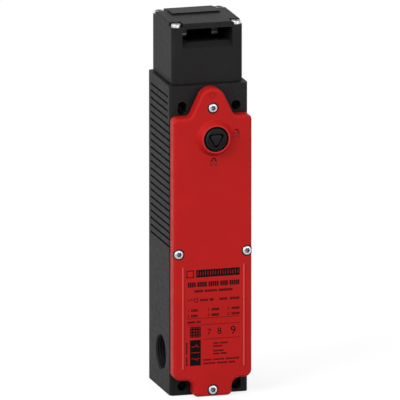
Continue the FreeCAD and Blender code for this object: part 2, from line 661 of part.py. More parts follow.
def make_head():
    """The die-cast head: a block with a round cam chamber, a front slot and a top slot."""
    body = new_body("HeadHousing")
    rear, front = "-headRear", "-(headRear + headSide)"
    middle = "-headMiddle"
    outline = pad_box(body, "XY_Plane", "headLow", "headHeight", ("-headSide / 2", "headSide / 2"),
                      (front, rear))
    round_corners(body, outline, range(4), "headEdge")
    top = size("headHeight")
    rim = ["Edge%d" % number for number, edge in enumerate(body.Shape.Edges, start=1)
           if edge.BoundBox.ZMin > top - 1e-4]
    round_edges(body, rim, "headTopEdge")
    pocket_circles(body, "YZ_Plane", "-cavityWide / 2", "cavityWide / 2", "cavityRadius",
                   [(middle, "camHeight")])
    pocket_box(body, "XZ_Plane", "slotReach", "headRear + headSide + 1",
               ("-slotWide / 2", "slotWide / 2"), ("slotLow", "slotTop"))
    lead = new_sketch(body, "YZ_Plane", "-slotWide / 2")
    draw_loop(lead, [(front + " + slotLead", "slotLow"), (front + " - 1", "slotLow"),
                     (front + " - 1", "slotLow - slotLead - 1")])
    pocket(body, lead, "-slotWide / 2", "slotWide / 2")
    pocket_box(body, "XY_Plane", "camHeight", "headHeight + 1",
               ("-topSlotWide / 2", "topSlotWide / 2"), ("-topSlotFront", "-topSlotRear"))
    corners = new_sketch(body, "XY_Plane", "headHeight - cornerPocketDeep")
    for side in (1, -1):
        across = span("headSide / 2 - cornerPocket", "headSide / 2 + 1", side)
        draw_box(corners, across, (front + " - 1", front + " + cornerPocket"))
        draw_box(corners, across, (rear + " - cornerPocket", rear + " + 1"))
    pocket(body, corners, "headHeight - cornerPocketDeep", "headHeight + 1")
    pocket_circles(body, "XY_Plane", "headLow - 1", "headHeight", "headScrewShank / 2 + holeGap",
                   [(x, "-(%s)" % d) for x, d in head_corners])
    pocket_circles(body, "XY_Plane", "headLow - 1", "camHeight - cavityRadius + 1",
                   "plungerRadius + bushGap", [("0", middle)])
    pocket_circles(body, "YZ_Plane", "-axleLength / 2", "axleLength / 2", "axleRadius + holeGap / 2",
                   [(middle, "camHeight")])
    keep(body, "head_housing")


def make_head_gasket():
    body = new_body("HeadGasket")
    half = "(headSide / 2 - headGasketInset)"
    middle = "-headMiddle"
    low, high = "bodyHeight", "headLow"
    outline = pad_box(body, "XY_Plane", low, high, ("-" + half, half),
                      (middle + " - " + half, middle + " + " + half))
    round_corners(body, outline, range(4), "headEdge")
    pocket_circles(body, "XY_Plane", low + " - 1", high + " + 1", "bushRadius + bushGap",
                   [("0", middle)])
    pocket_circles(body, "XY_Plane", low + " - 1", high + " + 1", "headScrewShank / 2 + holeGap",
                   [(x, "-(%s)" % d) for x, d in head_corners])
    keep(body, "head_gasket")


def make_blanking_plug():
    """The cap that closes the slot not in use, with two clip legs."""
    body = new_body("BlankingPlug")
    half = "(topSlotWide / 2 - plugGap)"
    depth = ("-(topSlotFront - plugGap)", "-(topSlotRear + plugGap)")
    top = "headHeight + plugCrown"
    cap = pad_box(body, "XY_Plane", top + " - plugThick", top, ("-" + half, half), depth)
    round_corners(body, cap, range(4), "plugCorner")
    for side in (1, -1):
        pad_box(body, "XY_Plane", top + " - plugThick - plugLegDeep", top + " - plugThick / 2",
                span(half + " - plugLeg", half, side),
                (depth[0] + " + plugLeg", depth[1] + " - plugLeg"))
    keep(body, "slot_blanking_plug")


def make_head_screws():
    screws = [socket_screw(across, depth, "headHeight - cornerPocketDeep", "headScrewHead",
                           "headScrewHeadHigh", "headScrewShank",
                           "(headHeight - cornerPocketDeep - headScrewEnd)", "up")
              for across, depth in head_corners]
    keep(group(*screws), "head_screws")


# Cam and the drive down to the contacts

def cam_point(turn):
    """A point of the cam's working curve, as (forward, up) from the axle.

    The plunger's round tip climbs evenly with the turn, so the tip's middle follows a spiral.
    The cam's edge runs inside that spiral by the tip's radius and a running clearance.
    """
    climb = size("driveTravel") / math.radians(size("camTurn"))
    reach = size("camHeight") - size("tipTop") + size("tipRadius") - climb * turn
    outward = Vector(-math.sin(turn), -math.cos(turn), 0)
    along = Vector(-math.cos(turn), math.sin(turn), 0)
    normal = (outward * reach + along * climb).normalize()
    return outward * reach - normal * (size("tipRadius") + size("camClear"))


def upright_face(points, across):
    """A closed outline of (forward, up) points from the axle, set upright at one x."""
    return [Vector(across, -(size("headMiddle") + p.x), size("camHeight") + p.y) for p in points]


def make_cam():
    """The cam wheel: a spiral plate that lifts the plunger and two hooked discs for the tongue."""
    half = size("camDiscWide") / 2
    steps = [math.radians(size("camTurn")) * i / 8 for i in range(9)]
    spiral = upright_face([cam_point(turn) for turn in steps], -half)
    radius = size("camHeight") - size("tipTop") - size("camClear")
    sweep = math.radians(size("camFrontSweep"))
    first = math.radians(size("camFrontStart"))
    arc = [Vector(radius * math.sin(a), -radius * math.cos(a), 0)
           for a in (first, (first + sweep) / 2, sweep)]
    dwell = upright_face(arc, -half)
    middle = upright_face([Vector(0, 0, 0)], -half)[0]
    curve = Part.BSplineCurve()
    curve.interpolate(spiral)
    outline = Part.Wire([curve.toShape(), Part.LineSegment(middle, spiral[-1]).toShape(),
                         Part.LineSegment(spiral[0], dwell[0]).toShape(),
                         Part.Arc(*dwell).toShape(), Part.LineSegment(dwell[2], middle).toShape()])
    plate = Part.Face(outline).extrude(Vector(2 * half, 0, 0))
    right = Vector(1, 0, 0)
    hub_half = size("camHubWide") / 2
    hub = Part.makeCylinder(size("camHub"), 2 * hub_half, middle + right * (half - hub_half), right)
    wheel = plate.fuse(hub)
    outer = size("hookRadius")
    for low in (size("hookInner"), -size("hookInner") - size("hookWide")):
        start = Vector(low, middle.y, middle.z)
        disc = Part.makeCylinder(outer, size("hookWide"), start, right)
        notch = Part.makeBox(size("hookWide"), outer, outer,
                             start + Vector(0, -outer - size("hookNotchIn"), size("hookNotchLow")))
        wheel = wheel.fuse(disc.cut(notch))
    bore = Part.makeCylinder(size("axleRadius") + size("axleGap"), 4 * hub_half,
                             middle + right * (half - 2 * hub_half), right)
    cam = doc.addObject("Part::Feature", "Cam")
    cam.Shape = wheel.cut(bore).removeSplitter()
    keep(cam, "cam_wheel")


def make_axle():
    keep(rod("axleRadius", ("-axleLength / 2", "headMiddle", "camHeight"), "axleLength", "right"), "cam_axle")


def make_plunger():
    """The steel plunger: a blunt tip, a guided shank, the locking collar and a riveted spigot."""
    body = new_body("DrivePlunger")
    turned(body, [("0", "plungerFoot - rodFootThick"), ("spigotRadius", "plungerFoot - rodFootThick"),
                  ("spigotRadius", "plungerFoot"), ("plungerRadius", "plungerFoot"),
                  ("plungerRadius", "collarLow"), ("collarRadius", "collarLow"),
                  ("collarRadius", "collarHigh"), ("plungerRadius", "collarHigh"),
                  ("plungerRadius", "tipTop - tipLength"), ("tipRadius", "tipTop - tipChamfer"),
                  ("tipFlat", "tipTop"), ("0", "tipTop")], "headMiddle")
    keep(body, "drive_plunger")


def make_bush():
    body = new_body("PlungerBush")
    turned(body, [("plungerRadius + bushGap", "bushLow"), ("bushRadius", "bushLow"),
                  ("bushRadius", "bodyHeight - sealThick"),
                  ("plungerRadius + bushGap", "bodyHeight - sealThick")], "headMiddle")
    keep(body, "plunger_bush")
    seal = new_body("PlungerSeal")
    turned(seal, [("plungerRadius + sealGap", "bodyHeight - sealThick"),
                  ("bushRadius", "bodyHeight - sealThick"), ("bushRadius", "bodyHeight"),
                  ("plungerRadius + sealGap", "bodyHeight")], "headMiddle")
    keep(seal, "plunger_seal")


def make_drive_rod():
    """A flat rod behind the solenoid, with a bent foot under the plunger."""
    strip = box(("-rodWide / 2", "rodWide / 2"), ("rodRear", "rodFront"),
                ("bridgeLow + bridgePitch / 2", "plungerFoot"))
    bent = box(("-rodFootWide / 2", "rodFootWide / 2"), ("rodRear", "rodFootReach"),
               ("plungerFoot - rodFootThick", "plungerFoot"))
    hole = rod("spigotRadius + spigotGap", ("0", "headMiddle", "plungerFoot - rodFootThick - 1"),
               "rodFootThick + 2")
    keep(cut(fuse(strip, bent), hole), "drive_rod")


def bridge_heights():
    return ["bridgeLow + bridgePitch * %d" % i for i in range(int(size("bridgeCount")))]


def bridge_box(height):
    return box(("-bridgeHalf", "bridgeHalf"), ("bridgeRear", "bridgeRear + bridgeDeep"),
               (height, height + " + bridgeThick"))


def make_contacts():
    """The sliding carriage and its bridges, and the block with the fixed contacts."""
    carriage = box(("-carriageWide / 2", "carriageWide / 2"), ("rodFront", "carriageFront"),
                   ("carriageLow", "carriageHigh"))
    keep(cut(carriage, *[bridge_box(h) for h in bridge_heights()]), "contact_carriage")
    keep(group(*[bridge_box(h) for h in bridge_heights()]), "contact_bridges")

    half = "(carriageWide / 2 + channelGap)"
    shell = box(("-blockHalf", "blockHalf"), ("backWall", "blockFront"), ("blockLow", "blockHigh"))
    rooms = [box(("-" + half, half), ("backWall - 1", "carriageFront + channelGap"),
                 ("springSeat", "blockHigh + 1")),
             box(("-windowHalf", "windowHalf"), ("windowRear", "windowFront"),
                 ("carriageLow - channelGap", "blockHigh - blockRoof"))]
    strips = []
    screws = []
    for height in bridge_heights():
        low = "%s + bridgeThick + driveTravel + contactGap" % height
        for side in (1, -1):
            across = span("contactInner", "contactOuter", side)
            middle = sign("(contactInner + contactOuter) / 2", side)
            screw_height = low + " + contactThick - terminalDrop"
            bar = box(across, ("bridgeRear", "blockFront + tabThick"), (low, low + " + contactThick"))
            tab = box(across, ("blockFront", "blockFront + tabThick"),
                      (low + " + contactThick - tabHigh", low + " + contactThick"))
            hole = rod("terminalShank / 2 + holeGap", (middle, "blockFront - 1", screw_height),
                       "tabThick + 2", "forward")
            strips.append(cut(fuse(bar, tab), hole))
            screws.append(socket_screw(middle, "blockFront + tabThick", screw_height, "terminalHead",
                                       "terminalHeadHigh", "terminalShank", "terminalReach", "forward"))
            rooms.append(box(across, ("bridgeRear", "blockFront + 1"), (low, low + " + contactThick")))
            rooms.append(rod("terminalShank / 2 + holeGap",
                             (middle, "blockFront - terminalReach", screw_height),
                             "terminalReach + 1", "forward"))
    for side in (1, -1):
        rooms.append(rod("smallShank / 2 + holeGap",
                         (sign("blockScrewAcross", side), "backWall - 1", "blockScrewHeight"),
                         "blockFront", "forward"))
    keep(cut(shell, *rooms), "contact_block")
    keep(group(*strips), "fixed_contacts")
    keep(group(*screws), "terminal_screws")
    keep(group(*[socket_screw(sign("blockScrewAcross", side), "blockFront", "blockScrewHeight",
                              "blockScrewHead", "terminalHeadHigh", "smallShank",
                              "(blockFront - screwEnd)", "forward")
                 for side in (1, -1)]), "contact_block_screws")
    keep(socket_screw("earthAcross", "backWall + earthBossLength", "earthHeight", "terminalHead",
                      "terminalHeadHigh", "smallShank", "(backWall + earthBossLength - screwEnd)",
                      "forward"),
         "earth_screw")


def coil_spring(label, across, depth, low, high, radius, wire, turn_count):
    """A spring of square wire between two heights."""
    height = high - low - wire
    helix = Part.makeHelix(height / turn_count, height, radius)
    half = wire / 2
    corners = [Vector(radius - half, 0, -half), Vector(radius + half, 0, -half),
               Vector(radius + half, 0, half), Vector(radius - half, 0, half)]
    section = Part.makePolygon(corners + corners[:1])
    spring = doc.addObject("Part::Feature", "Spring")
    spring.Shape = Part.Wire(helix.Edges).makePipeShell([section], True, True)
    spring.Placement = Placement(Vector(across, -depth, low + half), Rotation())
    keep(spring, label)


def make_springs():
    coil_spring("plunger_spring", 0.0, size("bridgeRear") + size("bridgeDeep") / 2, size("springSeat"),
                size("carriageLow"), size("springRadius"), size("springWire"), size("springTurns"))
    coil_spring("armature_spring", 0.0, size("coilDepth"), size("poleHigh") - size("springBoreDeep"),
                size("poleHigh") + size("poleGap") + size("springBoreDeep"), size("armatureSpringRadius"),
                size("armatureSpringWire"), size("armatureSpringTurns"))


# Locking solenoid

def make_solenoid():
    """A U-shaped yoke round the coil, with a fixed pole below and a moving armature above."""
    outer = box(("-yokeHalf", "yokeHalf"), ("frameFront", "yokeFront"), ("yokeLow", "yokeHigh"))
    inner = box(("-yokeHalf - 1", "yokeHalf + 1"), ("frameFront + yokePlate", "yokeFront + 1"),
                ("yokeLow + yokePlate", "yokeHigh - yokePlate"))
    bore = rod("armatureRadius + coilGap", ("0", "coilDepth", "yokeHigh - yokePlate - 1"),
               "yokePlate + 2")
    keep(cut(outer, inner, bore), "solenoid_yoke")

    low = "yokeLow + yokePlate"
    high = "yokeHigh - yokePlate"
    bobbin = new_body("CoilBobbin")
    turned(bobbin, [("bobbinBore", low), ("bobbinFlange", low), ("bobbinFlange", low + " + bobbinThick"),
                    ("bobbinCore", low + " + bobbinThick"), ("bobbinCore", high + " - bobbinThick"),
                    ("bobbinFlange", high + " - bobbinThick"), ("bobbinFlange", high), ("bobbinBore", high)],
           "coilDepth")
    keep(bobbin, "coil_bobbin")
    winding = new_body("CoilWinding")
    turned(winding, [("bobbinCore", low + " + bobbinThick"), ("windingRadius", low + " + bobbinThick"),
                     ("windingRadius", high + " - bobbinThick"), ("bobbinCore", high + " - bobbinThick")],
           "coilDepth")
    keep(winding, "coil_winding")
    pole = new_body("SolenoidPole")
    turned(pole, [("0", low), ("bobbinBore", low), ("bobbinBore", "poleHigh"), ("springBore", "poleHigh"),
                  ("springBore", "poleHigh - springBoreDeep"), ("0", "poleHigh - springBoreDeep")],
           "coilDepth")
    keep(pole, "solenoid_pole")
    armature = new_body("Armature")
    foot_low = "poleHigh + poleGap"
    turned(armature, [("springBore", foot_low), ("armatureRadius", foot_low),
                      ("armatureRadius", "armatureHigh"),
                      ("0", "armatureHigh"), ("0", foot_low + " + springBoreDeep"),
                      ("springBore", foot_low + " + springBoreDeep")], "coilDepth")
    pocket_box(armature, "XY_Plane", "bladeFootLow", "armatureHigh + 1",
               ("-bladeThick / 2", "bladeThick / 2"),
               ("-(coilDepth + armatureRadius + 1)", "-(coilDepth - armatureRadius - 1)"))
    keep(armature, "armature")


# Lock

def make_blade():
    """A plate on the armature whose slanted slot turns its rise into the bolt's stroke."""
    body = new_body("ArmatureBlade")
    low = "-bladeThick / 2"
    rear_foot = "-(coilDepth - armatureRadius + pinGap)"
    front_foot = "-(coilDepth + armatureRadius - pinGap)"
    sketch = new_sketch(body, "YZ_Plane", low)
    draw_loop(sketch, [(rear_foot, "bladeFootLow"), (front_foot, "bladeFootLow"),
                       (front_foot, "bladeArmLow"), ("-bladeFront", "bladeArmLow"),
                       ("-bladeFront", "noseLow"), ("-noseFront", "noseLow"),
                       ("-noseFront", "noseHigh"), ("-bladeFront", "noseHigh"),
                       ("-bladeFront", "bladeTop"), ("-bladeRear", "bladeTop"),
                       ("-bladeRear", "bladeArmHigh"), (rear_foot, "bladeArmHigh")])
    pad(body, sketch, low, "bladeThick / 2")
    slot = new_sketch(body, "YZ_Plane", "-bladeThick")
    draw_slot(slot, ("-pinDepth", "pinHeight"), ("-pinDepth + lockTravel", "pinHeight - lockTravel"),
              (1, -1), "pinRadius + pinGap")
    pocket(body, slot, "-bladeThick", "bladeThick")
    keep(body, "armature_blade")


def make_bolt():
    """The forked bolt that slides under the plunger's collar, and the pin through its cheeks."""
    body = new_body("LockBolt")
    low, high = "boltLow", "boltHigh"
    pad_box(body, "XY_Plane", low, high, ("-boltHalf", "boltHalf"), ("-boltFront", "-boltTip"))
    pocket_box(body, "XY_Plane", low + " - 1", high + " + 1", ("-boltForkHalf", "boltForkHalf"),
               ("-(boltTip + boltForkDeep)", "-(boltTip - 1)"))
    pocket_box(body, "XY_Plane", low + " - 1", high + " + 1", ("-boltSlotHalf", "boltSlotHalf"),
               ("-(boltFront + 1)", "-boltBridge"))
    for side in (1, -1):
        pocket_box(body, "XY_Plane", low + " - 1", high + " + 1", span("pinHalf", "boltHalf + 1", side),
                   ("-(boltFront + 1)", "-(boltBridge + boltSlotHalf)"))
    pocket_circles(body, "YZ_Plane", "-boltHalf", "boltHalf", "pinRadius", [("-pinDepth", "pinHeight")])
    keep(body, "lock_bolt")
    keep(rod("pinRadius", ("-pinHalf", "pinDepth", "pinHeight"), "2 * pinHalf", "right"), "lock_pin")


def make_frame():
    """The plate behind the solenoid, on two ribs, with the bolt's guide on two arms."""
    solids = [box(("-frameHalf", "frameHalf"), ("frameRear", "frameFront"), ("frameLow", "frameHigh")),
              box(("-guideHalf", "guideHalf"), ("guideRear", "guideFront"), ("guideLow", "guideHigh"))]
    through = ("guideRear - 1", "guideFront + 1")
    rooms = [box(("-frameWindow", "frameWindow"), ("frameRear - 1", "frameFront + 1"),
                 ("frameWindowLow", "frameWindowHigh")),
             box(("-(boltHalf + guideGap)", "boltHalf + guideGap"), through,
                 ("boltLow - guideGap", "boltHigh + guideGap")),
             box(("-guideOpen", "guideOpen"), through, ("boltLow", "guideHigh + 1")),
             box(("-guideSlit", "guideSlit"), ("bladeRear - 1", "guideFront + 1"),
                 ("guideLow - 1", "guideHigh + 1"))]
    for side in (1, -1):
        solids.append(box(span("frameHalf - frameRib", "frameHalf", side), ("backWall", "frameRear"),
                          ("frameLow", "frameHigh")))
        solids.append(box(span("guideHalf - guideArm", "guideHalf", side), ("frameFront", "guideRear"),
                          ("guideLow", "guideHigh")))
        for height in ("frameScrewLow", "frameScrewHigh"):
            rooms.append(rod("smallShank / 2 + holeGap",
                             (sign("frameScrewAcross", side), "backWall - 1", height),
                             "frameFront", "forward"))
    keep(cut(fuse(*solids), *rooms), "mechanism_frame")
    keep(group(*[socket_screw(sign("frameScrewAcross", side), "frameFront", height, "frameScrewHead",
                              "frameScrewHeadHigh", "smallShank", "(frameFront - screwEnd)", "forward")
                 for side in (1, -1) for height in ("frameScrewLow", "frameScrewHigh")]), "frame_screws")


# Key release in the cover

def make_release():
    """The barrel with its triangular socket, its seal and clip, and the crank inside."""
    across, height = "releaseAcross", "releaseHeight"
    body = new_body("ReleaseBarrel")
    disc_rear = "releaseFloor + releaseSealThick + releaseSealGap"
    disc = new_sketch(body, "XZ_Plane", disc_rear)
    draw_circle(disc, across, height, "releaseRadius")
    pad(body, disc, disc_rear, "releaseFront")
    shank = new_sketch(body, "XZ_Plane", "barrelRear")
    draw_circle(shank, across, height, "barrelRadius")
    pad(body, shank, "barrelRear", disc_rear)
    rim = ring_edges(body.Shape, size("releaseRadius"),
                     lambda c: abs(c.y + size("releaseFront")) < 1e-4)
    round_edges(body, rim, "keyRound")
    key = new_sketch(body, "XZ_Plane", "releaseFront - keyDeep")
    flat = height + " + keySide / (2 * sqrt(3))"
    draw_loop(key, [(across + " - keySide / 2", flat), (across, height + " - keySide / sqrt(3)"),
                    (across + " + keySide / 2", flat)])
    pocket(body, key, "releaseFront - keyDeep", "releaseFront + 1")
    round_corners(body, key, range(3), "keyRound")
    keep(body, "release_barrel")

    ring = rod("releaseRadius", (across, "releaseFloor", height), "releaseSealThick", "forward")
    hole = rod("barrelRadius + releaseGap", (across, "releaseFloor - 1", height),
               "releaseSealThick + 2", "forward")
    keep(cut(ring, hole), "release_seal")

    clip_rear = "coverFace - coverWall - clipGap - clipThick"
    clip = rod("clipRadius", (across, clip_rear, height), "clipThick", "forward")
    clip_hole = rod("barrelRadius", (across, clip_rear + " - 1", height), "clipThick + 2", "forward")
    keep(cut(clip, clip_hole), "release_clip")

    crank = rod("crankRadius", (across, "crankRear", height), "crankThick", "forward")
    pin = rod("crankPin", (across + " - crankThrow", "crankPinRear", height),
              "crankRear + crankThick / 2 - crankPinRear", "forward")
    keep(fuse(crank, pin), "release_finger")


def check_document():
    """Stops if any object failed or any piece is missing or broken."""
    doc.recompute()
    for thing in doc.Objects:
        if "Invalid" in thing.State or "Error" in thing.State:
            raise RuntimeError(thing.Label + " failed: " + str(thing.State))
    for node in nodes:
        if node.Shape.isNull() or not node.Shape.isValid() or not node.Shape.Solids:
            raise RuntimeError(node.Label + " has no valid shape")


make_housing()
make_gasket()
make_cover()
make_cover_screws()
make_head()
make_head_gasket()
make_blanking_plug()
make_head_screws()
make_cam()
make_axle()
make_plunger()
make_bush()
make_drive_rod()
make_contacts()
make_springs()
make_solenoid()
make_blade()
make_bolt()
make_frame()
make_release()
check_document()
os.makedirs("parts", exist_ok=True)
for node in nodes:
    node.Shape.exportStep("parts/%s.step" % node.Label)
    print("%s: %d solid, %.1f mm3" % (node.Label, len(node.Shape.Solids), node.Shape.Volume))
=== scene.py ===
import json
import math

import bmesh
import bpy
from mathutils import Matrix, Vector


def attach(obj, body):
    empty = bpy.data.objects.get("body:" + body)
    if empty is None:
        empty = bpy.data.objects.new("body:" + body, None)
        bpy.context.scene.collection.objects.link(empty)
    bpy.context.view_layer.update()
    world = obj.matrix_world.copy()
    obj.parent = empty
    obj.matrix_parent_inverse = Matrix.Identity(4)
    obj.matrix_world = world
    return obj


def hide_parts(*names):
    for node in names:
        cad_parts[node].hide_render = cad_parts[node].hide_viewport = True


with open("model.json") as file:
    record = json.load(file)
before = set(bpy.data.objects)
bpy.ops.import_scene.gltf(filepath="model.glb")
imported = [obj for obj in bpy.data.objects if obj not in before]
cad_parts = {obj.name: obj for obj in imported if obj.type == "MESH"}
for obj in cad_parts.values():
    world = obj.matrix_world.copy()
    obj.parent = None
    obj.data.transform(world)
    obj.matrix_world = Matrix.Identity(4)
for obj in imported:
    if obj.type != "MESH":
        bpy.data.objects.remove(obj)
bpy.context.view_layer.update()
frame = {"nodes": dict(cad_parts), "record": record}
nodes = frame["nodes"]
scene = bpy.context.scene
mm = 0.001
coverFace = 51.5  # depth of the cover's face, mm
print("frame loaded with", len(nodes), "nodes")


# Camera, light and floor

photoView = {
    "turnLeft": 15.85,  # degrees
    "lift": 13.6,
    "distance": 10.0,
    "lens": 1674.4,
    "sensor": 36.0,
    "target": (1.63, -20.0, 101.42),  # mm
}

studioLight = {
    "roomLevel": 0.42,  # what the white room gives to matt surfaces
    "whiteLevel": 1.0,  # what the camera sees of it
    "lamps": {
        "leftSoftbox": {"place": (-1.5, -0.85, 1.05), "size": 1.1, "power": 24.0},
        "frontFill": {"place": (0.75, -1.7, 0.6), "size": 1.3, "power": 13.0},
        "topStrip": {"place": (-0.2, 0.5, 1.7), "size": 0.9, "power": 5.0},
    },
    "aim": (0.0, -0.02, 0.1),
    "floorColour": (0.28, 0.28, 0.28),
    "floorWhite": 0.8,
    "floorSide": 12.0,
}


def placeCamera(view):
    turn, lift = math.radians(view["turnLeft"]), math.radians(view["lift"])
    back = Vector((
        -math.sin(turn) * math.cos(lift), -math.cos(turn) * math.cos(lift), math.sin(lift)))
    data = bpy.data.cameras.new("photoCamera")
    data.lens = view["lens"]
    data.sensor_width = view["sensor"]
    camera = bpy.data.objects.new("photoCamera", data)
    camera.location = Vector(view["target"]) * mm + back * view["distance"]
    camera.rotation_euler = (-back).to_track_quat("-Z", "Y").to_euler()
    scene.collection.objects.link(camera)
    scene.camera = camera


def hangLamps(light):
    for name, lamp in light["lamps"].items():
        data = bpy.data.lights.new(name, "AREA")
        data.shape = "SQUARE"
        data.size = lamp["size"]
        data.energy = lamp["power"]
        item = bpy.data.objects.new(name, data)
        item.location = lamp["place"]
        aim = Vector(light["aim"]) - Vector(lamp["place"])
        item.rotation_euler = aim.to_track_quat("-Z", "Y").to_euler()
        scene.collection.objects.link(item)


# gives 1 for the rays that should meet the white background
def seenDirectly(tree):
    path = tree.nodes.new("ShaderNodeLightPath")
    total = path.outputs["Is Camera Ray"]
    for label in ("Is Glossy Ray", "Is Transmission Ray"):
        add = tree.nodes.new("ShaderNodeMath")
        add.use_clamp = True
        tree.links.new(total, add.inputs[0])
        tree.links.new(path.outputs[label], add.inputs[1])
        total = add.outputs[0]
    return total


def paintRoom(light):
    world = bpy.data.worlds.new("whiteRoom")
    scene.world = world
    world.use_nodes = True
    tree = world.node_tree
    tree.nodes.clear()
    soft = tree.nodes.new("ShaderNodeBackground")
    soft.inputs["Color"].default_value = (1, 1, 1, 1)
    soft.inputs["Strength"].default_value = light["roomLevel"]
    white = tree.nodes.new("ShaderNodeBackground")
    white.inputs["Color"].default_value = (1, 1, 1, 1)
    white.inputs["Strength"].default_value = light["whiteLevel"]
    mix = tree.nodes.new("ShaderNodeMixShader")
    out = tree.nodes.new("ShaderNodeOutputWorld")
    tree.links.new(seenDirectly(tree), mix.inputs[0])
    tree.links.new(soft.outputs[0], mix.inputs[1])
    tree.links.new(white.outputs[0], mix.inputs[2])
    tree.links.new(mix.outputs[0], out.inputs[0])


def layFloor(light):
    half = light["floorSide"] / 2
    mesh = bpy.data.meshes.new("paleFloor")
    corners = [(-half, -half, 0), (half, -half, 0), (half, half, 0), (-half, half, 0)]
    mesh.from_pydata(corners, [], [(0, 1, 2, 3)])
    floor = bpy.data.objects.new("paleFloor", mesh)
    scene.collection.objects.link(floor)
    paint = bpy.data.materials.new("paleFloorPaint")
    paint.use_nodes = True
    tree = paint.node_tree
    tree.nodes.clear()
    matt = tree.nodes.new("ShaderNodeBsdfDiffuse")
    matt.inputs["Color"].default_value = (*light["floorColour"], 1)
    glow = tree.nodes.new("ShaderNodeEmission")
    level = tree.nodes.new("ShaderNodeMath")
    level.operation = "MULTIPLY"
    level.inputs[1].default_value = light["floorWhite"]
    both = tree.nodes.new("ShaderNodeAddShader")
    out = tree.nodes.new("ShaderNodeOutputMaterial")
    tree.links.new(seenDirectly(tree), level.inputs[0])
    tree.links.new(level.outputs[0], glow.inputs["Strength"])
    tree.links.new(matt.outputs[0], both.inputs[0])
    tree.links.new(glow.outputs[0], both.inputs[1])
    tree.links.new(both.outputs[0], out.inputs[0])
    mesh.materials.append(paint)


scene.view_settings.view_transform = "Standard"
placeCamera(photoView)
hangLamps(studioLight)
paintRoom(studioLight)
layFloor(studioLight)
print("camera, lamps and floor placed")


# Finishes. Every pattern reads object coordinates, and sizes are in metres where no mm is named

finishSteps = {
    "glossSpan": (0.3, 0.7),  # the noise values that the gloss is spread over
    "edgeSpan": (0.99, 0.8),  # cosine between true and rounded normal, where an edge starts and is full
    "edgeSamples": 4,
}


